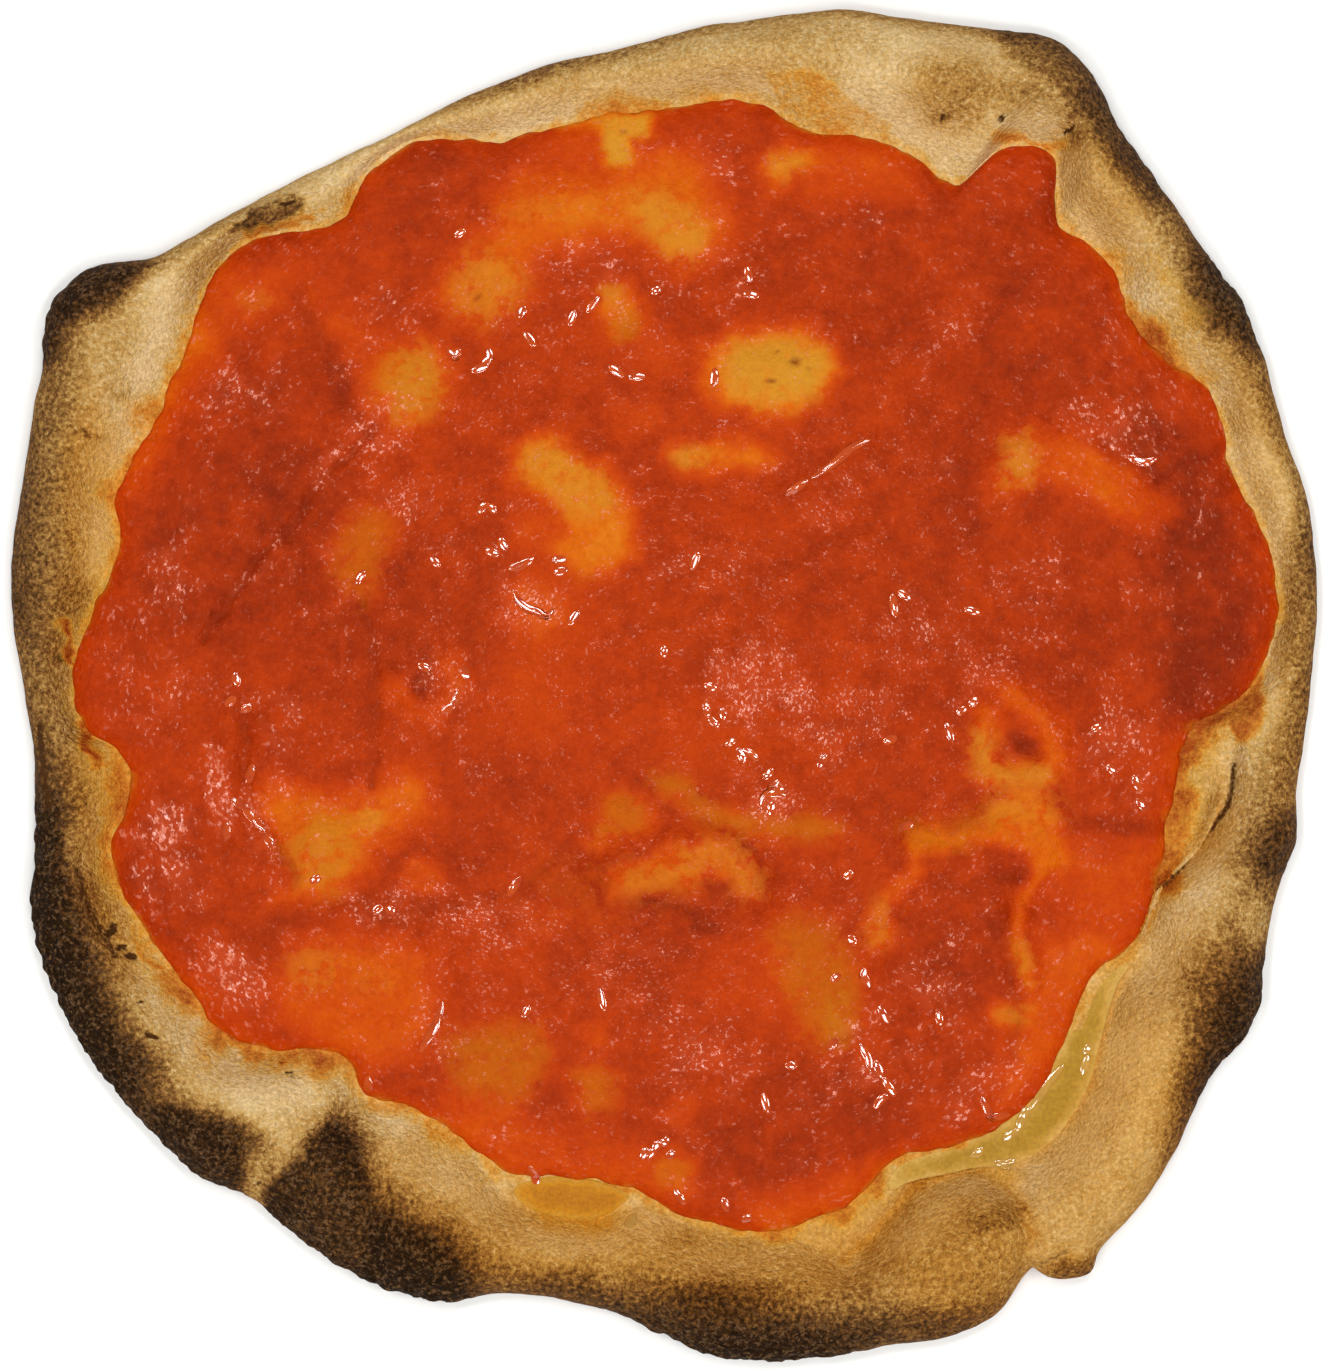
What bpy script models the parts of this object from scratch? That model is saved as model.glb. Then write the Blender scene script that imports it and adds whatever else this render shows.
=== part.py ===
"""Tomato pizza: a hand-stretched wheat crust with a puffed rim, its tomato sauce, and olive oil beside the sauce.

Metres, +Z up. The origin is on the table under the middle of the pizza's outline. The outlines are read going
round from +X, and a bearing is the angle from +X, anticlockwise as seen from above.
"""

import math
from dataclasses import dataclass

import bmesh
import bpy
from mathutils import Vector, noise

MM = 0.001

# Heights of the dough and the sauce
DOUGH_THICKNESS = 3.6 * MM      # under the sauce, in the middle
DOUGH_TURN_UP = 1.6 * MM        # how much the dough has risen where the sauce ends
TURN_UP_START = 0.72            # share of the way to the sauce's edge where that rise begins
SAUCE_DEPTH = 2.0 * MM          # where it lies thick
SAUCE_THIN_DEPTH = 0.7 * MM     # over a bubble in the dough
SAUCE_EDGE_DEPTH = 0.9 * MM
SAUCE_EDGE_SLOPE = 0.8 * MM     # how far the sauce's upper edge stands inside its lower one
CLEARANCE = 0.3 * MM            # between pieces that touch

# The rim, worked out from its width at each bearing
RIM_LOWEST = 7.5 * MM
RIM_HIGHEST = 17.5 * MM
RIM_NARROW = 4.0 * MM           # a rim this narrow is the lowest
RIM_RISE = 0.38                 # height gained for each unit of width beyond that
RIM_CREST = 0.52                # where the crest lies, as a share of the rim's width
RIM_SIDE = 0.42                 # height of the widest point, as a share of the rim's height
RIM_TUCK = 0.36                 # how far the rim curls under itself, as a share of its height
RIM_WAVER = 0.7 * MM            # unevenness of the puffed surface
RIM_WAVER_LENGTH = 24.0 * MM
RIM_BLEND = math.radians(9)     # the height follows the width averaged over this bearing each way
SHELF_LEAST = 1.0 * MM          # bare dough between the sauce and the foot of the rim

OIL_DEPTH = 0.8 * MM
OIL_EDGE_DEPTH = 0.3 * MM
OIL_MARGIN = 1.4 * MM           # from the sauce, and half of it from the rim

# Fineness of the meshes
BASIN_RINGS = 12
SAUCE_RINGS = 24                # twice the basin's, so that their outer edges have the same points
SHELF_STEPS = 2
INNER_STEPS = 5
OUTER_STEPS = 5
UNDER_STEPS = 3
OIL_STEPS = 26
OIL_STRIPS = 4

# Outlines in millimetres, one row for each stretch
CRUST_EDGE = (
    (155.5, 0), (157, 22), (155, 42), (149, 61), (143.5, 80), (138, 93),                # right side
    (130, 103.5), (119, 120), (109, 134), (103, 146), (94, 154.5), (80, 157),           # upper right shoulder
    (60, 159.5), (42, 162), (24, 160), (8, 157.8), (-10, 152.8), (-25, 149.8), (-40, 144.5),  # puffed top
    (-56, 137.5), (-66, 132), (-82, 124.8), (-102, 114.3), (-122, 103),                 # flat upper left
    (-136, 100.3), (-144, 95), (-148, 88), (-149.5, 74),                                # scorched corner
    (-153.5, 52), (-156.9, 25), (-154, 0), (-151.4, -18), (-150.8, -38), (-152, -53),   # left side
    (-148, -70), (-139.5, -86.5), (-126, -103.5), (-113.5, -118.5), (-98, -123.8),      # lower left
    (-85, -134.5), (-71, -144.5), (-56, -148), (-37, -146), (-17, -149.2), (-2, -155),  # blistered bottom left
    (12, -160.8), (31, -162), (52, -158.8), (69, -156), (79.5, -151), (88.3, -139.8),   # bottom
    (91.5, -141.8), (97, -142.5), (102, -141), (104.5, -135.5),                         # knob
    (114, -125), (123, -111), (130, -95.5), (138, -85.5), (143, -78), (143.6, -68),     # lower right
    (147, -50), (151.6, -38), (152, -26),                                               # scorched right bump
)
SAUCE_EDGE = (
    (145, 9), (148, 17), (146, 30), (141, 43), (136.5, 52), (135, 60), (130, 71),       # right side
    (120, 78.5), (112.5, 90), (109.5, 101), (96, 112), (94.3, 120), (93.5, 127.5),      # up to the notch
    (86, 129.5), (80, 128), (71, 120.3), (60, 127), (50, 131), (34, 133), (26, 138),    # notch and top right
    (15, 142), (3, 139.5), (-10, 137.5), (-23, 134.5), (-40, 131), (-58, 131),          # top
    (-66, 127.5), (-73, 120.5), (-77, 112), (-90, 108.8), (-101, 106), (-110, 96),      # upper left
    (-116, 81), (-125, 62), (-133.3, 45), (-132, 33), (-134.5, 24), (-141, 7),          # left side
    (-141.5, -5), (-137, -12.5), (-129, -18), (-128.5, -26), (-132.8, -38),
    (-130, -50), (-117, -69), (-106, -84), (-97, -88), (-84, -87.5), (-75, -91),        # lower left
    (-72, -98), (-60, -101.5), (-50, -108.5), (-38, -117.5), (-25, -118.5),
    (-8, -121), (4, -127.5), (24, -131.5), (40, -127.5), (48, -122.5), (55, -114.5),    # bottom
    (68, -111), (79, -107.5), (88, -100), (94.5, -90), (98, -81), (104, -69),           # lower right
    (113, -62.5), (118, -50), (121, -34), (124, -20), (127, -10), (136, -5), (142.5, 2),  # inside the folded flap
)
SHELF_WIDTH = (  # bearing in degrees and width in millimetres of the bare dough between the sauce and the rim
    (-78, 1), (-73, 9), (-68, 9), (-58, 7), (-51, 10), (-42, 9.5), (-31, 6), (-26, 1.5), (-22, 1.5),
    (-17, 8.5), (-12, 11), (-7, 7), (-3, 1), (90, 1), (180, 1), (248, 1), (256, 8.5), (263, 8.5), (269, 1),
)
OIL_POOLS = {  # bearings in degrees between which oil lies on the bare dough
    "olive_oil_right": (-64, -33),
    "olive_oil_bottom": (255, 264),
}


@dataclass(frozen=True)
class Dome:
    """A rounded swelling: its middle and half widths in millimetres, its turn in degrees, its rise in millimetres."""

    x: float
    y: float
    half_length: float
    half_width: float
    turn: float
    rise: float

    def height(self, x, y):
        """The rise in metres at a point in metres."""
        along, across = x - self.x * MM, y - self.y * MM
        cosine, sine = math.cos(math.radians(self.turn)), math.sin(math.radians(self.turn))
        u = (along * cosine + across * sine) / (self.half_length * MM)
        v = (across * cosine - along * sine) / (self.half_width * MM)
        return self.rise * MM * max(0.0, 1.0 - u * u - v * v) ** 1.5


@dataclass(frozen=True)
class Fold:
    """A ridge, or a crease if its rise is negative, along a line of points: all in millimetres."""

    line: tuple
    half_width: float
    rise: float

    def height(self, x, y):
        """The rise in metres at a point in metres."""
        point = Vector((x, y)) / MM
        nearest = min(distance_to(point, Vector(a), Vector(b)) for a, b in zip(self.line, self.line[1:]))
        return self.rise * MM * math.exp(-((nearest / self.half_width) ** 2))


RIM_RELIEF = (
    Dome(70, 143, 17, 12, -10, 3.0),                # browned bubble at the top
    Dome(93, 145, 12, 10, -40, 2.4),                # shoulder beside it
    Dome(106, 120, 17, 9, 118, 3.6),                # bulge that overhangs the notch in the sauce
    Dome(132, 93, 16, 8, 115, 2.2),
    Dome(15, 150, 30, 8, 8, 2.0),
    Dome(-35, 141, 20, 6, 20, 1.6),
    Dome(-95, 112.5, 10, 4, 24, 2.2),               # burst bubble
    Dome(-140, 91, 11, 8, 40, 3.2),                 # scorched corner
    Dome(-146, 35, 26, 9, 88, 2.0),
    Dome(-143, -55, 22, 8, 100, 2.6),
    Dome(-110, -110.5, 11, 9, -30, 3.4),            # scorched blisters
    Dome(-79, -121, 16, 9, 72, 3.4),
    Dome(-57, -135, 14, 11, 0, 3.0),
    Dome(12, -148, 24, 10, -14, 2.6),
    Dome(70, -137, 21, 17, 20, 3.6),                # large bubble at the lower right
    Dome(112, -108, 26, 14, 55, 2.4),
    Dome(138, -74, 13, 8, 80, 2.4),
    Dome(146, -38, 10, 7, 80, 2.8),
    Dome(129, -25, 14, 5, 78, 2.6),               # flap of dough inside the fold
    Fold(((137, -14), (135.5, -27), (129, -39), (119, -50), (115, -60)), 3.2, -3.0),     # fold of the right rim
    Fold(((44, -141), (53, -130), (62, -121), (74, -117), (84, -122), (87, -133)), 3.4, -2.2),
    Fold(((-97, -120), (-90, -109), (-84, -101)), 4.0, -2.0),                            # between two blisters
    Fold(((-69, -139), (-68, -126), (-66, -114)), 3.0, -1.8),
    Fold(((-127, -40), (-137, -52), (-132, -61), (-125, -70)), 3.2, -1.2),               # torn seam on the left
    Fold(((90, -139), (97, -135.5)), 3.0, -1.8),                                         # root of the knob
    Fold(((97, 133), (99, 124), (96, 115)), 3.0, -1.0),
)
FLOOR_RELIEF = (  # broad waves of the dough under the sauce
    Dome(-20, 112, 42, 26, 10, 1.4),
    Dome(-22, 45, 30, 24, 120, 1.2),
    Dome(28, 72, 34, 24, 0, 1.2),
    Dome(98, 50, 34, 22, -15, 1.2),
    Dome(84, -30, 36, 34, 60, 1.4),
    Dome(12, -42, 34, 24, 0, 1.2),
    Dome(-80, -58, 40, 34, 10, 1.4),
    Dome(-100, 60, 34, 30, 0, 1.0),
    Dome(-35, -90, 34, 20, 0, 0.8),
)
SAUCE_THIN_SPOTS = (  # small bubbles and bald places that the sauce barely covers; each rises a little
    Dome(-25, 113, 19, 10, 8, 1.1),
    Dome(4, 111, 14, 9, -28, 1.1),
    Dome(-43, 97, 13, 10, 0, 1.0),
    Dome(-61, 73, 11, 10, 0, 0.9),
    Dome(27, 75, 16, 9, 2, 1.3),
    Dome(13, 55, 14, 6, 8, 0.9),
    Dome(-22, 48, 19, 10, 122, 1.4),
    Dome(30, 124, 8, 6, 30, 0.8),
    Dome(-83, -38, 14, 12, 20, 1.1),
    Dome(-74, -75, 19, 14, -10, 1.4),
    Dome(-12, -31, 9, 6, 10, 0.8),
    Dome(36, -71, 14, 10, 100, 0.8),
    Dome(-38, -88, 14, 10, 0, 0.7),
)
SAUCE_RELIEF = (
    Fold(((80, 51), (88, 57), (99, 57), (109, 48), (116, 43)), 5.0, 1.8),                     # upper right fold
    Fold(((62, -36), (75, -35), (86, -28), (93, -33), (93, -43), (86, -54)), 5.0, 1.8),       # lower right fold
    Fold(((86, -54), (84, -61), (88, -70), (88, -77)), 4.0, 1.6),
    Fold(((66, -42), (56, -52), (51, -62), (50, -70)), 4.5, 1.3),
    Fold(((84, -4), (95, -14), (93, -21), (79, -21), (77, -12), (84, -4)), 4.0, 1.7),         # ring of a burst bubble
    Fold(((-13, -44), (0, -39), (12, -38), (20, -43), (22, -51)), 5.0, 2.2),                  # arched bulge
    Fold(((-6, -51), (3, -51), (10, -57)), 3.6, -0.8),                                        # hollow under it
    Fold(((-65, 2), (-60, -4), (-53, -3), (-50, 2), (-54, 7)), 3.6, 1.2),                     # small crater
    Fold(((-71, 60), (-80, 51), (-88, 40), (-98, 30), (-106, 18)), 3.6, -0.8),                # long creases
    Fold(((-102, -8), (-102, -22), (-98, -33), (-90, -43)), 3.6, -0.9),
    Fold(((-69, 12), (-70, -6), (-70, -22)), 3.4, -0.7),
    Fold(((-75, -50), (-60, -57), (-48, -53), (-36, -50), (-22, -37)), 3.8, -0.7),
    Fold(((18, 42), (36, 49), (50, 59)), 3.4, 0.9),                                           # brush mark
    Fold(((16, -99), (30, -92), (46, -85)), 3.4, -0.6),
)


def distance_to(point, start, end):
    """The distance from a point to the line between two others."""
    run = end - start
    share = max(0.0, min(1.0, (point - start).dot(run) / run.length_squared))
    return (point - start - run * share).length


class Ring:
    """A closed curve round the origin: a value at any bearing, smooth through its stations."""

    def __init__(self, stations):
        """Takes (bearing in radians, value) pairs in any order."""
        ordered = sorted((bearing % math.tau, value) for bearing, value in stations)
        first, last = ordered[0], ordered[-1]
        second, last_but_one = ordered[1], ordered[-2]
        self.stations = [
            (last_but_one[0] - math.tau, last_but_one[1]),
            (last[0] - math.tau, last[1]),
            *ordered,
            (first[0] + math.tau, first[1]),
            (second[0] + math.tau, second[1]),
        ]

    @classmethod
    def through(cls, points):
        """The ring of radii through points given in millimetres."""
        return cls([(math.atan2(y, x), math.hypot(x, y) * MM) for x, y in points])

    def at(self, bearing):
        """The value at a bearing, by a cubic through the two nearest stations."""
        bearing %= math.tau
        index = next(i for i in range(2, len(self.stations)) if self.stations[i][0] >= bearing)
        (a0, v0), (a1, v1), (a2, v2), (a3, v3) = (
            self.stations[index - 2: index + 2] if index + 2 <= len(self.stations) else self.stations[-4:]
        )
        span = a2 - a1
        share = (bearing - a1) / span
        start_slope = (v2 - v0) / (a2 - a0) * span
        end_slope = (v3 - v1) / (a3 - a1) * span
        square, cube = share ** 2, share ** 3
        return (
            (2 * cube - 3 * square + 1) * v1
            + (cube - 2 * square + share) * start_slope
            + (3 * square - 2 * cube) * v2
            + (cube - square) * end_slope
        )


crust_edge = Ring.through(CRUST_EDGE)
sauce_edge = Ring.through(SAUCE_EDGE)
shelf_width = Ring([(math.radians(bearing), width * MM) for bearing, width in SHELF_WIDTH])


def bearing_of(vertex):
    """The bearing of a mesh vertex."""
    return math.atan2(vertex.co.y, vertex.co.x)


def smooth_step(value, start, end):
    """0 before start, 1 after end, and an S-curve between them."""
    share = max(0.0, min(1.0, (value - start) / (end - start)))
    return share * share * (3 - 2 * share)


def foot_radius(bearing):
    """Where the rim begins to rise."""
    return sauce_edge.at(bearing) + max(SHELF_LEAST, shelf_width.at(bearing))


def rim_height(bearing):
    """The rim's height above the table: wide stretches have puffed up more."""
    nearby = [bearing + RIM_BLEND * offset for offset in (-1.0, -0.5, 0.0, 0.5, 1.0)]
    width = sum(crust_edge.at(b) - foot_radius(b) for b in nearby) / len(nearby)
    return min(RIM_HIGHEST, RIM_LOWEST + RIM_RISE * max(0.0, width - RIM_NARROW))


def floor_height(share, x, y):
    """The top of the dough under the sauce, with share running from 0 in the middle to 1 at the sauce's edge."""
    fade = 1.0 - smooth_step(share, 0.85, 1.0)
    waves = fade * sum(dome.height(x, y) for dome in FLOOR_RELIEF)
    return DOUGH_THICKNESS + DOUGH_TURN_UP * smooth_step(share, TURN_UP_START, 1.0) + waves


def rim_relief(x, y, waver):
    """Blisters, creases and waver of the rim's surface, with waver running from 0 to 1."""
    spot = Vector((x, y, 0.0)) / RIM_WAVER_LENGTH
    return sum(form.height(x, y) for form in RIM_RELIEF) + RIM_WAVER * waver * noise.noise(spot)


def polar(bearing, radius, height):
    """The point at a bearing, radius and height."""
    return Vector((radius * math.cos(bearing), radius * math.sin(bearing), height))


def rim_section():
    """The rim's cross-section, from the sauce's edge over the crest and under the outer side, as placing functions."""
    edge_floor = DOUGH_THICKNESS + DOUGH_TURN_UP

    def shelf(share):
        def place(bearing):
            radius = sauce_edge.at(bearing) * (1 - share) + foot_radius(bearing) * share
            point = polar(bearing, radius, edge_floor)
            point.z += rim_relief(point.x, point.y, 0.0)
            return point
        return place

    def inner(share):
        def place(bearing):
            foot, edge = foot_radius(bearing), crust_edge.at(bearing)
            rise = math.sin(share * math.pi / 2) ** 1.25
            point = polar(bearing, foot + (edge - foot) * RIM_CREST * share, 0.0)
            point.z = edge_floor + (rim_height(bearing) - edge_floor) * rise
            point.z += rim_relief(point.x, point.y, share)
            return point
        return place

    def outer(angle):
        def place(bearing):
            foot, edge, height = foot_radius(bearing), crust_edge.at(bearing), rim_height(bearing)
            crest = foot + (edge - foot) * RIM_CREST
            point = polar(bearing, crest + (edge - crest) * math.sin(angle), 0.0)
            point.z = height * (RIM_SIDE + (1 - RIM_SIDE) * math.cos(angle))
            point.z += rim_relief(point.x, point.y, 1.0) * (0.3 + 0.7 * math.cos(angle))
            return point
        return place

    def under(angle):
        def place(bearing):
            height = rim_height(bearing)
            side = outer(math.pi / 2)(bearing).z
            tuck = height * RIM_TUCK * (1 - math.cos(angle))
            return polar(bearing, crust_edge.at(bearing) - tuck, side * (1 - math.sin(angle)))
        return place

    return (
        [shelf((i + 1) / SHELF_STEPS) for i in range(SHELF_STEPS)]
        + [inner((i + 1) / INNER_STEPS) for i in range(INNER_STEPS)]
        + [outer((i + 1) / OUTER_STEPS * math.pi / 2) for i in range(OUTER_STEPS)]
        + [under((i + 1) / UNDER_STEPS * math.pi / 2) for i in range(UNDER_STEPS)]
    )


def pressed_disc(rings, place, edge_cuts=0):
    """A disc pressed from a square grid, whose squares become rings. place(share, bearing) puts each vertex.

    Ring k has 8 k vertices, so that the mesh is as fine in the middle as at the edge.
    """
    sheet = bmesh.new()
    bmesh.ops.create_grid(sheet, x_segments=2 * rings, y_segments=2 * rings, size=1.0)
    for vertex in sheet.verts:
        u, v = vertex.co.x, vertex.co.y
        share = max(abs(u), abs(v))
        if share == 0.0:
            continue
        if abs(u) >= abs(v):
            bearing = math.pi / 4 * v / u + (math.pi if u < 0 else 0.0)
        else:
            bearing = math.pi / 2 - math.pi / 4 * u / v + (math.pi if v < 0 else 0.0)
        vertex.co = polar(bearing, share, 0.0)
    if edge_cuts:
        bmesh.ops.subdivide_edges(sheet, edges=boundary(sheet), cuts=edge_cuts)
    rim = {vertex for edge in boundary(sheet) for vertex in edge.verts}
    for vertex in sheet.verts:
        share = 1.0 if vertex in rim else vertex.co.length
        vertex.co = place(share, bearing_of(vertex))
    bmesh.ops.triangulate(sheet, faces=sheet.faces)
    return sheet


def boundary(mesh):
    """The open edges of a mesh."""
    return [edge for edge in mesh.edges if edge.is_boundary]


def basin(lift):
    """The dough's surface under the sauce, raised by lift: the crust and the sauce both take it, so they stay parallel."""
    def place(share, bearing):
        point = polar(bearing, share * sauce_edge.at(bearing), 0.0)
        point.z = floor_height(share, point.x, point.y) + lift
        return point
    return pressed_disc(BASIN_RINGS, place, edge_cuts=SAUCE_RINGS // BASIN_RINGS - 1)


def crust_mesh():
    """The dough: its basin, then the rim drawn out ring by ring, then the flat underside."""
    dough = basin(0.0)
    loop = boundary(dough)
    for place in rim_section():
        drawn = bmesh.ops.extrude_edge_only(dough, edges=loop)["geom"]
        loop = [item for item in drawn if isinstance(item, bmesh.types.BMEdge)]
        for vertex in (item for item in drawn if isinstance(item, bmesh.types.BMVert)):
            vertex.co = place(bearing_of(vertex))
    bmesh.ops.contextual_create(dough, geom=loop)
    return dough


def sauce_surface(share, bearing):
    """The sauce's upper surface."""
    radius = share * (sauce_edge.at(bearing) - SAUCE_EDGE_SLOPE)
    point = polar(bearing, radius, 0.0)
    x, y = point.x, point.y
    middle = 1.0 - smooth_step(share, 0.93, 1.0)
    bareness = min(1.0, sum(spot.height(x, y) / (spot.rise * MM) for spot in SAUCE_THIN_SPOTS))
    depth = SAUCE_EDGE_DEPTH + (SAUCE_DEPTH - SAUCE_EDGE_DEPTH) * middle
    depth += (SAUCE_THIN_DEPTH - depth) * bareness * middle
    lumps = sum(form.height(x, y) for form in (*SAUCE_THIN_SPOTS, *SAUCE_RELIEF))
    point.z = floor_height(share, x, y) + CLEARANCE + max(SAUCE_THIN_DEPTH, depth + middle * lumps)
    return point


def sauce_mesh():
    """The sauce: the basin's surface raised clear of the dough, and its own upper surface, joined round the edge."""
    sauce = basin(CLEARANCE)
    bmesh.ops.reverse_faces(sauce, faces=sauce.faces)
    top = pressed_disc(SAUCE_RINGS, sauce_surface)
    top_mesh = bpy.data.meshes.new("sauce_top")
    top.to_mesh(top_mesh)
    top.free()
    sauce.from_mesh(top_mesh)
    bpy.data.meshes.remove(top_mesh)
    bmesh.ops.bridge_loops(sauce, edges=boundary(sauce))
    return sauce


def oil_mesh(start, end):
    """A pool of oil on the bare dough between two bearings: flat below, rounded above, narrow at both ends."""
    pool = bmesh.new()
    bmesh.ops.create_grid(pool, x_segments=OIL_STEPS, y_segments=OIL_STRIPS, size=1.0)
    bmesh.ops.reverse_faces(pool, faces=pool.faces)
    lower = set(pool.verts)
    bmesh.ops.extrude_face_region(pool, geom=list(pool.faces), use_keep_orig=True)
    floor = DOUGH_THICKNESS + DOUGH_TURN_UP + CLEARANCE
    for vertex in pool.verts:
        along, across = vertex.co.x, vertex.co.y
        bearing = math.radians(start + (end - start) * (along + 1) / 2)
        inside = sauce_edge.at(bearing) + OIL_MARGIN
        outside = foot_radius(bearing) - OIL_MARGIN / 2
        taper = 0.12 + 0.88 * math.sqrt(max(0.0, 1 - along ** 2))
        radius = (inside + outside) / 2 + (outside - inside) / 2 * across * taper
        swell = (1 - across ** 2) * (1 - along ** 2)
        depth = 0.0 if vertex in lower else OIL_EDGE_DEPTH + (OIL_DEPTH - OIL_EDGE_DEPTH) * swell
        vertex.co = polar(bearing, radius, floor + depth)
    return pool


def material(name, colour, roughness):
    """A Principled material of one linear colour."""
    made = bpy.data.materials.new(name)
    made.use_nodes = True
    shader = made.node_tree.nodes["Principled BSDF"]
    shader.inputs["Base Color"].default_value = (*colour, 1.0)
    shader.inputs["Roughness"].default_value = roughness
    shader.inputs["Metallic"].default_value = 0.0
    return made


def add_piece(name, shape, finish, collection):
    """Turns a bmesh into a named object with one finish."""
    bmesh.ops.recalc_face_normals(shape, faces=shape.faces)
    mesh = bpy.data.meshes.new(name)
    shape.to_mesh(mesh)
    shape.free()
    mesh.materials.append(finish)
    mesh.shade_smooth()
    piece = bpy.data.objects.new(name, mesh)
    collection.objects.link(piece)
    return piece


def main():
    """Builds the pizza in an empty scene."""
    for old in list(bpy.data.objects):
        bpy.data.objects.remove(old)
    pizza = bpy.data.collections.new("tomato_pizza")
    bpy.context.scene.collection.children.link(pizza)
    baked_dough = material("baked dough", (0.52, 0.30, 0.10), 0.85)
    tomato_sauce = material("tomato sauce", (0.42, 0.035, 0.006), 0.3)
    olive_oil = material("olive oil", (0.48, 0.26, 0.03), 0.08)
    add_piece("crust", crust_mesh(), baked_dough, pizza)
    add_piece("tomato_sauce", sauce_mesh(), tomato_sauce, pizza)
    for name, (start, end) in OIL_POOLS.items():
        add_piece(name, oil_mesh(start, end), olive_oil, pizza)


main()
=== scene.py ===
"""The looks of a tomato pizza: baked dough with a puffed, scorched rim, pulpy tomato sauce and olive oil.

Plans and heights are in millimetres, +Z up, and turn into metres as they are written to a mesh. A bearing is the
angle from +X round the pizza's middle, anticlockwise as seen from above.
"""

import logging
import math
from dataclasses import dataclass
from enum import Enum, IntEnum
from functools import cached_property, partial
from typing import Any, Callable

import bmesh
import bpy
import numpy as np
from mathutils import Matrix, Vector, noise


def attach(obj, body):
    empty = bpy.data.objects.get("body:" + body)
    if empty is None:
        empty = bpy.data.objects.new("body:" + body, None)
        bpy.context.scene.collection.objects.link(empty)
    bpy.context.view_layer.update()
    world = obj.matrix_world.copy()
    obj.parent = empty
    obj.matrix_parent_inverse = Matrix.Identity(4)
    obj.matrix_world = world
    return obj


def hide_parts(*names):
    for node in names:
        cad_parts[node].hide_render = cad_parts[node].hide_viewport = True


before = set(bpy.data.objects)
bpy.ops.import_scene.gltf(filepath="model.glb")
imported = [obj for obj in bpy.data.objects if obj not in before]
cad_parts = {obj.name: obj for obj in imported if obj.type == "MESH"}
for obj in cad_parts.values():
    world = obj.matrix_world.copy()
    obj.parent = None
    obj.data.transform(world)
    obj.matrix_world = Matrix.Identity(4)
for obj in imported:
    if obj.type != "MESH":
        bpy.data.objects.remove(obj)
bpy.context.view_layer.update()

logging.basicConfig(level=logging.INFO, format="%(message)s")
log = logging.getLogger("tomato_pizza")

MM = 0.001
Array = np.ndarray
Point = tuple[float, float]
Stops = tuple[tuple[float, str], ...]  # a colour ramp's places and colours, in order

DOME_POWER = 1.5  # how softly a dome's foot runs out
STIR_SEEDS = ((8.2, 3.9), (9.4, 1.7))  # slices of the noise that move places along X and along Y
EDDY_AMOUNT = 0.5  # the smaller eddies in that noise, against the larger
EDDY_FINENESS = 2.7


# ---------- Plan: closed curves, domes, folds and marks, all in millimetres ----------

def smooth_step(value: Array, start: float, end: float) -> Array:
    """0 before start, 1 after end, and an S-curve between them."""
    share = np.clip((value - start) / (end - start), 0.0, 1.0)
    return share * share * (3.0 - 2.0 * share)


def grain(x: Array, y: Array, length: float, seed: float) -> Array:
    """Smooth noise between about -1 and 1 over the plan.

    Args:
        x: places along X.
        y: places along Y.
        length: the distance from one lump to the next.
        seed: the height of the slice through the noise.

    Returns:
        One value for each place.
    """
    return np.array([noise.noise((a, b, seed)) for a, b in zip((x / length).tolist(), (y / length).tolist())])


@dataclass(frozen=True)
class Unevenness:
    """Smooth noise over the plan: its amount, the length of its lumps and its slice through the noise."""

    amount: float
    length: float
    seed: float = 0.0

    def at(self, x: Array, y: Array) -> Array:
        """The noise at each place."""
        return self.amount * grain(x, y, self.length, self.seed)


@dataclass(frozen=True)
class Ring:
    """A value for each bearing, smooth through its stations, which may be in any order."""

    stations: tuple[Point, ...]
    fineness: int = 5760

    @classmethod
    def through(cls, points: tuple[Point, ...]) -> "Ring":
        """The ring of radii through points."""
        return cls(tuple((math.degrees(math.atan2(y, x)), math.hypot(x, y)) for x, y in points))

    @cached_property
    def table(self) -> tuple[Array, Array]:
        """Works out a smooth cubic through the stations, at fine bearings in radians.

        Returns:
            The bearings and the values.
        """
        ordered = sorted((bearing % 360.0, value) for bearing, value in self.stations)
        before = [(bearing - 360.0, value) for bearing, value in ordered[-2:]]
        after = [(bearing + 360.0, value) for bearing, value in ordered[:2]]
        places, values = np.array(before + ordered + after).T
        bearings = np.linspace(0.0, 360.0, self.fineness, endpoint=False)
        nth = np.searchsorted(places, bearings, side="right")
        a0, a1, a2, a3 = (places[nth + step] for step in (-2, -1, 0, 1))
        v0, v1, v2, v3 = (values[nth + step] for step in (-2, -1, 0, 1))
        share = (bearings - a1) / (a2 - a1)
        start_slope = (v2 - v0) / (a2 - a0) * (a2 - a1)
        end_slope = (v3 - v1) / (a3 - a1) * (a2 - a1)
        square, cube = share ** 2, share ** 3
        curve = (2 * cube - 3 * square + 1) * v1 + (cube - 2 * square + share) * start_slope
        curve += (3 * square - 2 * cube) * v2 + (cube - square) * end_slope
        return np.radians(bearings), curve

    def at(self, bearing: Array) -> Array:
        """The values at bearings in radians."""
        return np.interp(bearing, *self.table, period=math.tau)


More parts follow.
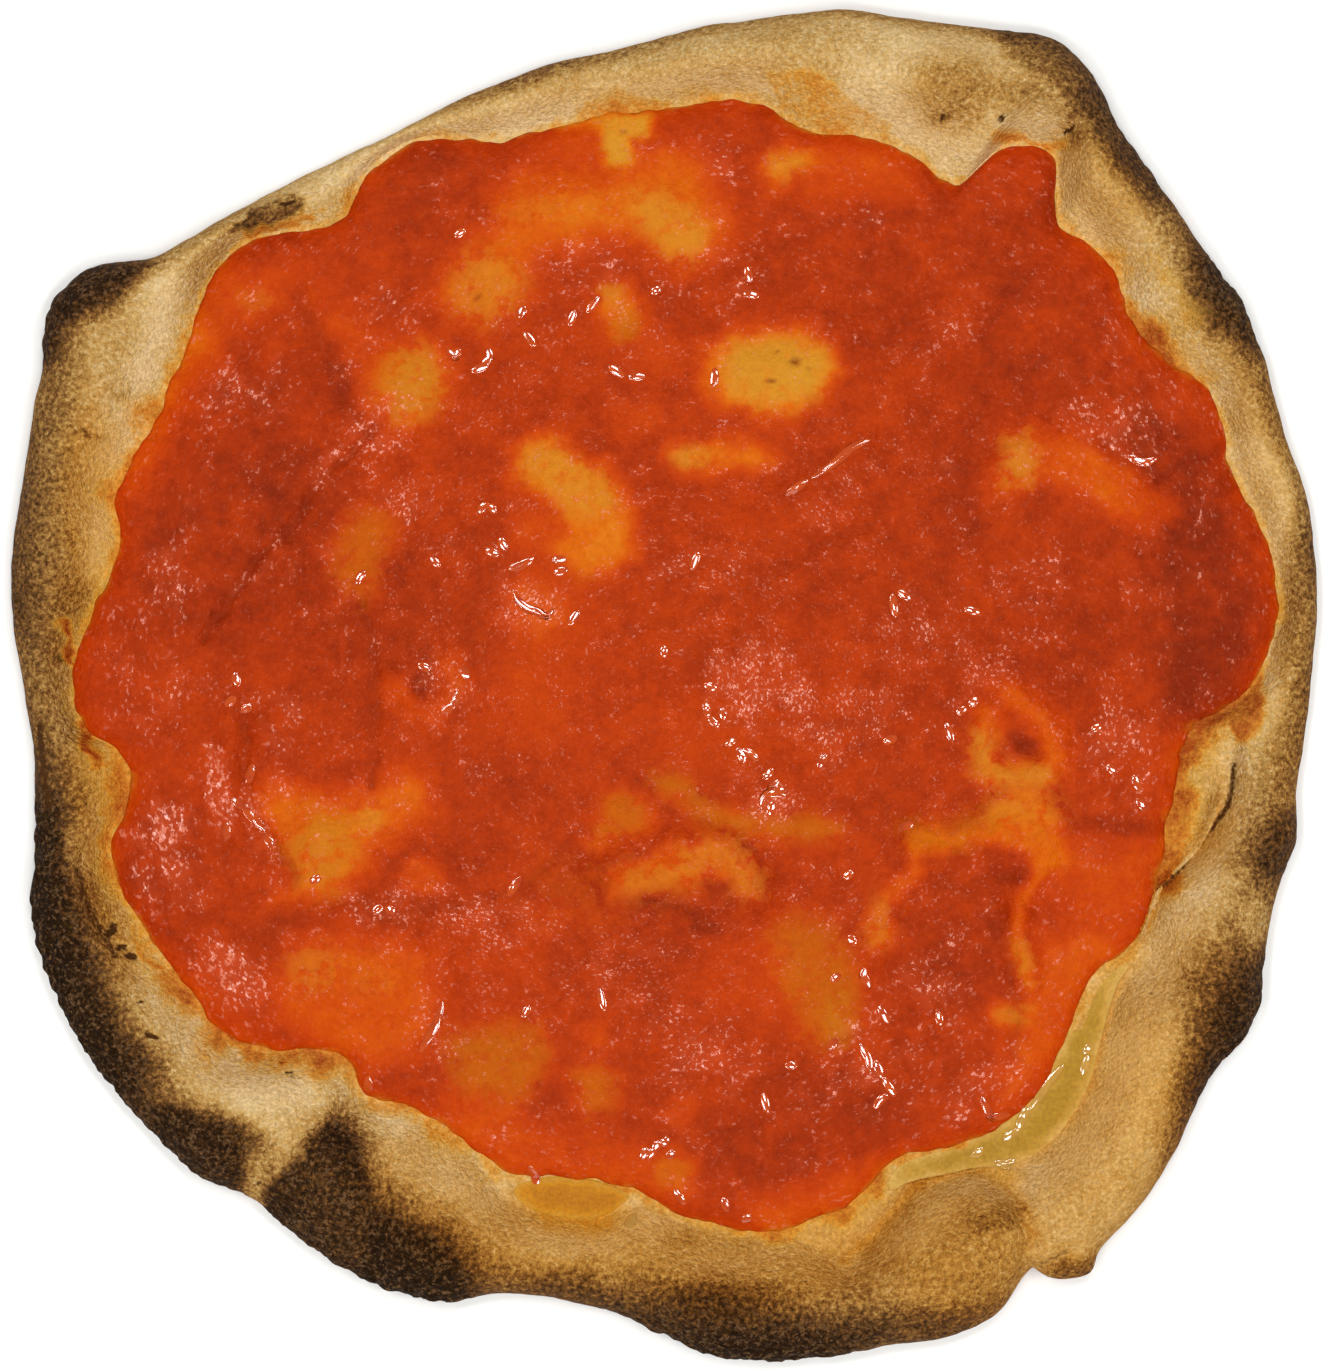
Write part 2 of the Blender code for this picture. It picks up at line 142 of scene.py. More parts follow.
@dataclass(frozen=True)
class Oval:
    """An oval on the plan: its middle, its half length and half width, and its turn in degrees.

    As relief it is a dome that rises by amount. As a mark it covers its inside by amount, and its edge is soft.
    """

    x: float
    y: float
    half_length: float
    half_width: float
    turn: float = 0.0
    amount: float = 1.0
    softness: float = 0.45

    def reach(self, x: Array, y: Array) -> Array:
        """How far out each place lies.

        Args:
            x: places along X.
            y: places along Y.

        Returns:
            0 at the middle and 1 on the oval.
        """
        cosine, sine = math.cos(math.radians(self.turn)), math.sin(math.radians(self.turn))
        along = ((x - self.x) * cosine + (y - self.y) * sine) / self.half_length
        across = ((y - self.y) * cosine - (x - self.x) * sine) / self.half_width
        return np.hypot(along, across)

    def rise(self, x: Array, y: Array) -> Array:
        """The dome's height at each place."""
        return self.amount * np.clip(1.0 - self.reach(x, y) ** 2, 0.0, None) ** DOME_POWER

    def cover(self, x: Array, y: Array) -> Array:
        """How much of the mark lies at each place."""
        return self.amount * (1.0 - smooth_step(self.reach(x, y), 1.0 - self.softness, 1.0 + self.softness))


@dataclass(frozen=True)
class Stroke:
    """A line of points with a width. As relief it is a ridge, or a crease if amount is negative."""

    line: tuple[Point, ...]
    half_width: float
    amount: float = 1.0

    def distance(self, x: Array, y: Array) -> Array:
        """How far each place is from the line.

        Args:
            x: places along X.
            y: places along Y.

        Returns:
            The distances.
        """
        nearest = np.full(np.shape(x), np.inf)
        for (x0, y0), (x1, y1) in zip(self.line, self.line[1:]):
            dx, dy = x1 - x0, y1 - y0
            share = np.clip(((x - x0) * dx + (y - y0) * dy) / (dx * dx + dy * dy), 0.0, 1.0)
            nearest = np.minimum(nearest, np.hypot(x - x0 - share * dx, y - y0 - share * dy))
        return nearest

    def rise(self, x: Array, y: Array) -> Array:
        """The ridge's height at each place."""
        return self.amount * np.exp(-((self.distance(x, y) / self.half_width) ** 2))

    def cover(self, x: Array, y: Array) -> Array:
        """How much of the mark lies at each place."""
        return self.rise(x, y)


@dataclass(frozen=True)
class Patch:
    """A closed outline on the plan. Its edge is soft over a width on each side."""

    outline: tuple[Point, ...]
    softness: float = 2.0
    amount: float = 1.0

    def inside(self, x: Array, y: Array) -> Array:
        """How far each place lies inside the outline.

        Args:
            x: places along X.
            y: places along Y.

        Returns:
            The distances, which are less than 0 outside.
        """
        within = np.zeros(np.shape(x), dtype=bool)
        for (x0, y0), (x1, y1) in zip(self.outline, self.outline[1:] + self.outline[:1]):
            if y0 != y1:
                within ^= ((y0 > y) != (y1 > y)) & (x < (x1 - x0) * (y - y0) / (y1 - y0) + x0)
        away = Stroke(self.outline + self.outline[:1], 1.0).distance(x, y)
        return np.where(within, away, -away)

    def cover(self, x: Array, y: Array) -> Array:
        """How much of the mark lies at each place."""
        return self.amount * smooth_step(self.inside(x, y), -self.softness, self.softness)


def total_rise(forms: tuple[Oval | Stroke, ...], x: Array, y: Array) -> Array:
    """The relief of many forms together."""
    return sum((form.rise(x, y) for form in forms), np.zeros(np.shape(x)))


def total_cover(marks: tuple[Oval | Stroke | Patch, ...], x: Array, y: Array) -> Array:
    """The cover of many marks together, which is never more than 1."""
    bare = (1.0 - np.clip(mark.cover(x, y), 0.0, 1.0) for mark in marks)
    return 1.0 - math.prod(bare, start=np.ones(np.shape(x)))


def stirred(x: Array, y: Array, amount: float, length: float) -> tuple[Array, Array]:
    """Moves places about by smooth noise, so that what is laid on them gets a wandering outline.

    Args:
        x: places along X.
        y: places along Y.
        amount: how far they move.
        length: the distance from one swirl to the next.

    Returns:
        The moved places along X and along Y.
    """
    along_x, along_y = (
        amount * (grain(x, y, length, broad) + EDDY_AMOUNT * grain(x, y, length / EDDY_FINENESS, fine))
        for broad, fine in STIR_SEEDS
    )
    return x + along_x, y + along_y


# ---------- The pizza's form: the outlines and heights of the CAD part, which the pieces below share ----------

CRUST_EDGE = Ring.through((
    (155.5, 0), (157, 22), (155, 42), (149, 61), (143.5, 80), (138, 93),  # right side
    (130, 103.5), (119, 120), (109, 134), (103, 146), (94, 154.5), (80, 157),  # upper right shoulder
    (60, 159.5), (42, 162), (24, 160), (8, 157.8), (-10, 152.8), (-25, 149.8), (-40, 144.5),  # puffed top
    (-56, 137.5), (-66, 132), (-82, 124.8), (-102, 114.3), (-122, 103),  # flat upper left
    (-136, 100.3), (-144, 95), (-148, 88), (-149.5, 74),  # scorched corner
    (-153.5, 52), (-156.9, 25), (-154, 0), (-151.4, -18), (-150.8, -38), (-152, -53),  # left side
    (-148, -70), (-139.5, -86.5), (-126, -103.5), (-112.2, -117.1), (-98, -123.8),  # lower left
    (-85, -134.5), (-70.4, -143.2), (-56, -147.6), (-37, -146), (-17, -149.2), (-2, -155),  # blistered bottom left
    (12, -160.8), (31, -162), (52, -158.8), (69, -156), (79.5, -151), (88.3, -139.8),  # bottom
    (91.5, -141.8), (97, -142.5), (102, -141), (104.5, -135.5),  # knob
    (114, -125), (123, -111), (130, -95.5), (138, -85.5), (143, -78), (143.6, -68),  # lower right
    (147, -50), (151.6, -38), (152, -26),  # scorched right bump
))
SAUCE_EDGE = Ring.through((
    (145, 9), (148, 17), (146, 30), (141, 43), (136.5, 52), (135, 60), (130, 71),  # right side
    (120, 78.5), (111.2, 89), (108.3, 100), (95, 110.9), (94.3, 120), (93.5, 127.5),  # up to the notch
    (86, 129.5), (80, 128), (71, 120.3), (60, 127), (50, 131), (34, 133), (26, 138),  # notch and top right
    (15, 140.8), (3, 138.3), (-10, 137.5), (-23, 134.5), (-40, 130.8), (-58, 130.6),  # top
    (-65.8, 127), (-72.8, 120.2), (-76.8, 111.8), (-89.8, 108.6), (-100.8, 105.8), (-109.4, 95.5),  # upper left
    (-114.8, 80.2), (-123.7, 61.4), (-131.8, 44.5), (-130.6, 32.6), (-134.5, 24), (-141, 7),  # left side
    (-141.5, -5), (-138, -11.5), (-132.5, -14.5), (-129.2, -19.5), (-128.4, -25), (-130.3, -31.5), (-132.8, -38.5),
    (-130, -50), (-117, -69), (-105.5, -83.6), (-96.5, -87.6), (-84, -87.5), (-75, -91),  # lower left
    (-72, -98), (-60, -101.5), (-50, -108.5), (-38, -117.5), (-25, -118.5),
    (-8, -121), (4, -127.5), (24, -131.5), (40, -127.5), (48, -122.5), (55, -114.5),  # bottom
    (68, -111), (79, -107.5), (88, -100), (94.5, -90), (98, -81), (104, -69),  # lower right
    (113, -62.5), (118, -50), (121, -34), (124, -20), (127, -10), (136, -5), (142.5, 2),  # inside the folded flap
))
SHELF_WIDTH = Ring((  # bearing and width of the bare dough between the sauce and the rim
    (-78, 1), (-73, 9), (-68, 9), (-58, 7), (-51, 10), (-42, 9.5), (-31, 6), (-26, 1.5), (-22, 1.5),
    (-17, 8.5), (-12, 11), (-7, 7), (-3, 1), (90, 1), (180, 1), (248, 1), (256, 8.5), (263, 8.5), (269, 1),
))
RIM_SWELLS = (
    Oval(70, 143, 17, 12, -10, 3.0),  # browned bubble at the top
    Oval(93, 145, 12, 10, -40, 2.4),  # shoulder beside it
    Oval(106, 120, 17, 9, 118, 3.6),  # bulge that overhangs the notch in the sauce
    Oval(132, 93, 16, 8, 115, 2.2),
    Oval(15, 150, 30, 8, 8, 2.0),
    Oval(-35, 141, 20, 6, 20, 1.6),
    Oval(-95, 112.5, 10, 4, 24, 2.2),  # burst bubble
    Oval(-140, 91, 11, 8, 40, 3.2),  # scorched corner
    Oval(-146, 35, 26, 9, 88, 2.0),
    Oval(-143, -55, 22, 8, 100, 2.6),
    Oval(-110, -110.5, 11, 9, -30, 3.4),  # scorched blisters
    Oval(-79, -121, 16, 9, 72, 3.4),
    Oval(-57, -135, 14, 11, 0, 3.0),
    Oval(12, -148, 24, 10, -14, 2.6),
    Oval(70, -137, 21, 17, 20, 3.6),  # large bubble at the lower right
    Oval(112, -108, 26, 14, 55, 2.4),
    Oval(138, -74, 13, 8, 80, 2.4),
    Oval(146, -38, 10, 7, 80, 2.8),
    Oval(129, -25, 14, 5, 78, 2.6),  # flap of dough inside the fold
)
RIM_FOLDS = (
    Stroke(((137, -14), (135.5, -27), (129, -39), (119, -50), (115, -60)), 1.5, -2.4),  # fold of the right rim
    Stroke(((114, -60), (111, -70), (105, -84)), 3.0, -1.2),
    Stroke(((44, -141), (53, -130), (62, -121), (74, -117), (84, -122), (87, -133)), 2.6, -2.2),
    Stroke(((-97, -120), (-90, -109), (-84, -101)), 3.6, -2.0),  # between two blisters
    Stroke(((-69, -139), (-68, -126), (-66, -114)), 2.6, -1.6),
    Stroke(((-127, -40), (-137, -52), (-132, -61), (-125, -70)), 1.6, -1.0),  # torn seam on the left
    Stroke(((90, -139), (97, -135.5)), 1.6, -1.8),  # root of the knob
    Stroke(((97, 133), (99, 124), (96, 115)), 2.0, -1.0),
)
FLOOR_WAVES = (  # broad waves of the dough under the sauce
    Oval(-20, 112, 42, 26, 10, 1.4), Oval(-22, 45, 30, 24, 120, 1.2), Oval(28, 72, 34, 24, 0, 1.2),
    Oval(98, 50, 34, 22, -15, 1.2), Oval(84, -30, 36, 34, 60, 1.4), Oval(12, -42, 34, 24, 0, 1.2),
    Oval(-80, -58, 40, 34, 10, 1.4), Oval(-100, 60, 34, 30, 0, 1.0), Oval(-35, -90, 34, 20, 0, 0.8),
)


@dataclass(frozen=True)
class PizzaForm:
    """The sizes that the dough, the sauce and the oil share."""

    dough_thickness: float = 3.6
    dough_turn_up: float = 1.6  # how much the dough has risen where the sauce ends
    turn_up_start: float = 0.72  # share of the way to the sauce's edge where that rise begins
    waves_end: float = 0.85  # and where the floor's waves begin to run out
    rim_lowest: float = 7.5
    rim_highest: float = 17.5
    rim_narrow: float = 4.0  # a rim this narrow is the lowest
    rim_rise: float = 0.38  # height gained for each unit of width beyond that
    rim_crest: float = 0.52  # where the crest lies, as a share of the rim's width
    rim_hollow: float = 1.25  # how hollow the rim's inner slope is at its foot
    rim_side: float = 0.42  # height of the widest point, as a share of the rim's height
    rim_tuck: float = 0.36  # how far the rim curls under itself, as a share of its height
    rim_waver: Unevenness = Unevenness(0.7, 24.0)
    rim_blend: float = math.radians(9)  # the height follows the width averaged over this bearing each way
    shelf_least: float = 1.0

    @property
    def shelf_height(self) -> float:
        """The top of the dough beside the sauce."""
        return self.dough_thickness + self.dough_turn_up

    def foot(self, bearing: Array) -> Array:
        """The radius at which the rim begins to rise."""
        return SAUCE_EDGE.at(bearing) + np.maximum(self.shelf_least, SHELF_WIDTH.at(bearing))

    def rim_height(self, bearing: Array) -> Array:
        """The rim's height above the table: wide stretches have puffed up more.

        Args:
            bearing: bearings in radians.

        Returns:
            The heights.
        """
        offsets = [self.rim_blend * share for share in (-1.0, -0.5, 0.0, 0.5, 1.0)]
        width = sum(CRUST_EDGE.at(bearing + step) - self.foot(bearing + step) for step in offsets) / len(offsets)
        return np.minimum(self.rim_highest, self.rim_lowest + self.rim_rise * np.maximum(0.0, width - self.rim_narrow))

    def floor(self, share: Array, x: Array, y: Array) -> Array:
        """The top of the dough under the sauce, with share 1 at the sauce's edge."""
        waves = (1.0 - smooth_step(share, self.waves_end, 1.0)) * total_rise(FLOOR_WAVES, x, y)
        return self.dough_thickness + self.dough_turn_up * smooth_step(share, self.turn_up_start, 1.0) + waves

    def inner_slope(self, share: Array, bearing: Array) -> Array:
        """The rim's height between its foot, at share 0, and its crest, at share 1."""
        rise = np.sin(np.clip(share, 0.0, 1.0) * math.pi / 2) ** self.rim_hollow
        return self.shelf_height + (self.rim_height(bearing) - self.shelf_height) * rise

    def relief(self, x: Array, y: Array, waver: Array) -> Array:
        """Swells, folds and waver of the rim."""
        swell = total_rise(RIM_SWELLS, x, y) + total_rise(RIM_FOLDS, x, y)
        return swell + waver * self.rim_waver.at(x, y)

    def dough_top(self, bearing: Array, radius: Array) -> Array:
        """The dough's upper surface from the sauce's edge up to the crest of the rim.

        Args:
            bearing: bearings in radians.
            radius: distances from the middle.

        Returns:
            Its heights.
        """
        foot = self.foot(bearing)
        slope = (radius - foot) / ((CRUST_EDGE.at(bearing) - foot) * self.rim_crest)
        x, y = radius * np.cos(bearing), radius * np.sin(bearing)
        return self.inner_slope(slope, bearing) + self.relief(x, y, np.clip(slope, 0.0, 1.0))

    def dough(self, x: Array, y: Array) -> Array:
        """The dough's upper surface at each place inside the crest of the rim.

        Args:
            x: places along X.
            y: places along Y.

        Returns:
            Its heights.
        """
        bearing, radius = np.arctan2(y, x), np.hypot(x, y)
        edge = SAUCE_EDGE.at(bearing)
        return np.where(radius > edge, self.dough_top(bearing, radius), self.floor(radius / edge, x, y))


FORM = PizzaForm()


# ---------- Meshes ----------

class Mark(Enum):
    """What a piece's points carry for its finish, each from 0 to 1."""

    TOAST = "toast"  # how far the dough has browned, with 1 as char
    GOLD = "gold"  # dough with a yellow cast
    STAIN = "stain"  # dough wetted by the sauce's orange juice
    OILED = "oiled"  # dough under or beside olive oil
    THIN = "thin"  # sauce from deep red, where thick, to orange, where thin
    JUICE = "juice"  # sauce turned yellowish by the oil in it
    BALD = "bald"  # sauce so thin that the dough's tan shows
    CREASE = "crease"  # painted shade in creases, cracks and pits
    FILM = "film"  # oily film that makes the sauce shine, and carries its painted sheen and glints
    DEPTH = "depth"  # how deep the oil lies


def bearing_and_share(u: float, v: float) -> tuple[float, float]:
    """Turns a place on a square into one on a disc, so that squares turn into rings.

    Args:
        u: a place along X, from -1 to 1.
        v: a place along Y, from -1 to 1.

    Returns:
        The bearing, and the share of the way out.
    """
    share = max(abs(u), abs(v))
    if share == 0.0:
        return 0.0, 0.0
    if abs(u) >= abs(v):
        return math.pi / 4 * v / u + (math.pi if u < 0 else 0.0), share
    return math.pi / 2 - math.pi / 4 * u / v + (math.pi if v < 0 else 0.0), share


def open_edges(shape: bmesh.types.BMesh) -> list[bmesh.types.BMEdge]:
    """The boundary edges of a mesh."""
    return [edge for edge in shape.edges if edge.is_boundary]


def round_sheet(rings: int, height: float, edge_cuts: int = 0) -> bmesh.types.BMesh:
    """A unit disc pressed from a square grid, as fine in the middle as at its edge.

    Args:
        rings: rings of faces. Ring k has 8 k vertices.
        height: where the disc lies.
        edge_cuts: extra vertices on each edge of the boundary.

    Returns:
        The disc.
    """
    sheet = bmesh.new()
    bmesh.ops.create_grid(sheet, x_segments=2 * rings, y_segments=2 * rings, size=1.0)
    if edge_cuts:
        bmesh.ops.subdivide_edges(sheet, edges=open_edges(sheet), cuts=edge_cuts)
    for vertex in sheet.verts:
        bearing, share = bearing_and_share(vertex.co.x, vertex.co.y)
        vertex.co = (share * math.cos(bearing), share * math.sin(bearing), height)
    return sheet


def joined(shapes: list[bmesh.types.BMesh]) -> bmesh.types.BMesh:
    """One mesh that holds several.

    Args:
        shapes: the meshes, which are used up.

    Returns:
        The mesh.
    """
    whole = bmesh.new()
    for shape in shapes:
        carrier = bpy.data.meshes.new("carrier")
        shape.to_mesh(carrier)
        shape.free()
        whole.from_mesh(carrier)
        bpy.data.meshes.remove(carrier)
    return whole


def place_points(shape: bmesh.types.BMesh, name: str, place: Callable[[Array], Array]) -> bpy.types.Mesh:
    """Writes a shape to a mesh with each point moved.

    Args:
        shape: the shape, which is used up.
        name: the mesh's name.
        place: turns an array of points as drawn into one of points in millimetres.

    Returns:
        The mesh, in metres, with its faces pointing outwards.
    """
    bmesh.ops.recalc_face_normals(shape, faces=shape.faces)
    mesh = bpy.data.meshes.new(name)
    shape.to_mesh(mesh)
    shape.free()
    drawn = np.empty(len(mesh.vertices) * 3)
    mesh.vertices.foreach_get("co", drawn)
    mesh.vertices.foreach_set("co", (place(drawn.reshape(-1, 3)) * MM).ravel())
    mesh.update()
    mesh.shade_smooth()
    return mesh


def mark_points(mesh: bpy.types.Mesh, mark: Mark, values: Array) -> None:
    """Gives each point of a mesh its share of a mark."""
    attribute = mesh.attributes.new(name=mark.value, type="FLOAT", domain="POINT")
    attribute.data.foreach_set("value", np.clip(values, 0.0, 1.0).astype(np.float32))


def points_of(mesh: bpy.types.Mesh) -> Array:
    """A mesh's points in millimetres, one row each."""
    return np.array([vertex.co[:] for vertex in mesh.vertices]) / MM


def add_piece(mesh: bpy.types.Mesh, finish: bpy.types.Material, node: str = "") -> bpy.types.Object:
    """Puts a finished mesh in the scene.

    Args:
        mesh: the mesh, whose name the piece takes.
        finish: its material.
        node: the CAD node that it stands for, if it stands for one.

    Returns:
        The piece.
    """
    mesh.materials.clear()
    mesh.materials.append(finish)
    piece = bpy.data.objects.new(mesh.name, mesh)
    bpy.context.scene.collection.objects.link(piece)
    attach(piece, "root")
    if node:
        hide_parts(node)
    triangles = sum(len(face.vertices) - 2 for face in mesh.polygons)
    log.info("%s: %d points, %d triangles, %s", piece.name, len(mesh.vertices), triangles, finish.name)
    return piece


# ---------- Finishes ----------

def srgb(code: str) -> tuple[float, float, float, float]:
    """The linear colour of an sRGB hex value."""
    channels = (int(code[i: i + 2], 16) / 255 for i in (1, 3, 5))
    return (*(c / 12.92 if c <= 0.04045 else ((c + 0.055) / 1.055) ** 2.4 for c in channels), 1.0)


def add_node(
    tree: bpy.types.NodeTree, kind: str, inputs: dict[Any, Any] | None = None, out: Any = 0, **settings: Any
) -> Any:
    """Adds a node with its settings and links.

    Args:
        tree: the material's node tree.
        kind: the shader node's type, such as Math.
        inputs: for each input's name or number, its value or the output that it is linked to.
        out: the wanted output's name or number.
        settings: the node's own properties. stops, for a colour ramp, gives its places and colours in order.

    Returns:
        The wanted output, or None where the node has none.
    """
    node = tree.nodes.new("ShaderNode" + kind)
    stops = settings.pop("stops", ())
    for nth, (position, code) in enumerate(stops):
        elements = node.color_ramp.elements
        element = elements.new(position) if 0 < nth < len(stops) - 1 else elements[0 if nth == 0 else -1]
        element.position = position
        element.color = srgb(code)
    for name, value in settings.items():
        setattr(node, name, value)
    for key, value in (inputs or {}).items():
        if isinstance(value, bpy.types.NodeSocket):
            tree.links.new(value, node.inputs[key])
        else:
            node.inputs[key].default_value = value
    return node.outputs[out] if node.outputs else None


def new_material(name: str) -> tuple[bpy.types.Material, Callable[..., Any]]:
    """Makes an empty material.

    Args:
        name: the material's name.

    Returns:
        The material, and add_node for its tree.
    """
    material = bpy.data.materials.new(name)
    material.use_nodes = True
    material.node_tree.nodes.clear()
    return material, partial(add_node, material.node_tree)


@dataclass(frozen=True)
class BakedDough:
    """Wheat dough baked in a very hot oven: matte and floury, stippled brown and then black where it scorched."""

    grain_mm: float = 1.2  # grains of the browned skin, a little coarser than real so that they show
    flour_mm: float = 0.8  # grains of flour
    mottle_mm: float = 6.0  # uneven colour
    ash_mm: float = 1.3  # paler crumbs in the char
    browning: Stops = (
        (0.00, "#DABB88"), (0.10, "#C9A468"), (0.22, "#BA8E4C"), (0.34, "#A4783E"), (0.48, "#855A2C"),
        (0.63, "#603E1E"), (0.80, "#3A2412"), (1.00, "#22140A"),
    )
    soaked_juice: Stops = ((0.35, "#CC9A3E"), (0.60, "#CC8A28"), (0.80, "#BE7224"), (1.00, "#9A4010"))
    ash: str = "#78583A"
    golden_cast: str = "#F8E0AC"
    oily_cast: str = "#F6DE9C"
    painted_crack_shade: str = "#4E2E14"
    gloss_tint: str = "#FFD8A4"

    def material(self) -> bpy.types.Material:
        """Builds the material.

        Returns:
            The material.
        """
        material, add = new_material("wood_oven_baked_wheat_dough")
        place = add("TexCoord", out="Object")
        toast, gold, stain, oiled, crease = (
            add("Attribute", out="Fac", attribute_name=mark.value)
            for mark in (Mark.TOAST, Mark.GOLD, Mark.STAIN, Mark.OILED, Mark.CREASE)
        )
        stipple, flour, mottle, ash = (
            add("Math", {0: add("TexNoise", {
                "Vector": place, "Scale": 1 / (size * MM), "Detail": detail, "Roughness": 0.68}), 1: 0.5},
                operation="SUBTRACT")
            for size, detail in ((self.grain_mm, 3.0), (self.flour_mm, 2.0), (self.mottle_mm, 4.0), (self.ash_mm, 2.0))
        )

        # The skin's grains brown one by one, so browning shows as a stipple that closes up into char
        spread = add("MapRange", {"Value": toast, "From Min": 0.05, "From Max": 0.32, "To Min": 0.32, "To Max": 1.45})
        broken = add("Math", {0: stipple, 1: spread, 2: toast}, operation="MULTIPLY_ADD")
        browning = add("Math", {0: mottle, 1: 0.16, 2: broken}, operation="MULTIPLY_ADD")
        skin = add("ValToRGB", {"Fac": browning}, stops=self.browning)
        crumbs = add("MapRange", {"Value": ash, "From Min": 0.03, "From Max": 0.14, "To Max": 0.7})
        charred = add("MapRange", {"Value": toast, "From Min": 0.4, "From Max": 0.8})
        ashen = add("Math", {0: crumbs, 1: charred}, operation="MULTIPLY")
        crumbled = add("Mix", {"Factor": ashen, 6: skin, 7: srgb(self.ash)}, 2, data_type="RGBA")
        golden = add("Mix", {
            "Factor": gold, 6: crumbled, 7: srgb(self.golden_cast)}, 2, data_type="RGBA", blend_type="MULTIPLY")

        # Juice that has soaked in is golden at its reach and orange beside the sauce
        soaked = add("Math", {0: mottle, 1: 0.7, 2: stain}, operation="MULTIPLY_ADD")
        soaked = add("Math", {0: stipple, 1: 0.5, 2: soaked}, operation="MULTIPLY_ADD")
        juice = add("ValToRGB", {"Fac": soaked}, stops=self.soaked_juice)
        wetted = add("MapRange", {"Value": soaked, "From Min": 0.12, "From Max": 0.75, "To Max": 0.97})
        stained = add("Mix", {"Factor": wetted, 6: golden, 7: juice}, 2, data_type="RGBA")
        slick = add("Mix", {
            "Factor": oiled, 6: stained, 7: srgb(self.oily_cast)}, 2, data_type="RGBA", blend_type="MULTIPLY")
        # Creases, torn seams and pits are darkened: painted shade
        torn = add("Math", {0: stipple, 1: 1.2, 2: crease}, operation="MULTIPLY_ADD")
        crack_shade_share = add("MapRange", {"Value": torn, "From Min": 0.35, "From Max": 0.8})
        hollow = add("Mix", {"Factor": crack_shade_share, 6: slick, 7: srgb(self.painted_crack_shade)}, 2, data_type="RGBA")
        dust = add("MapRange", {"Value": flour, "From Min": -0.2, "From Max": 0.2, "To Min": 0.78, "To Max": 1.2})
        tone = add("VectorMath", {0: hollow, "Scale": dust}, operation="SCALE")

        # Floury skin is nearly smooth and browned skin is pebbled
        pebbled = add("MapRange", {"Value": toast, "From Max": 0.3, "To Min": 0.45, "To Max": 1.1})
        height = add("Math", {0: flour, 1: 0.5, 2: stipple}, operation="MULTIPLY_ADD")
        height = add("Math", {0: height, 1: pebbled}, operation="MULTIPLY")
        relief = add("Bump", {"Height": height, "Distance": 1.2 * MM})
        gloss = add("MapRange", {"Value": oiled, "From Min": 0.3, "To Min": 0.75, "To Max": 0.35})
        shader = add("BsdfPrincipled", {
            "Base Color": tone, "Roughness": gloss, "IOR": 1.45, "Specular IOR Level": 0.1,
            "Specular Tint": srgb(self.gloss_tint), "Normal": relief})
        add("OutputMaterial", {"Surface": shader})
        return material


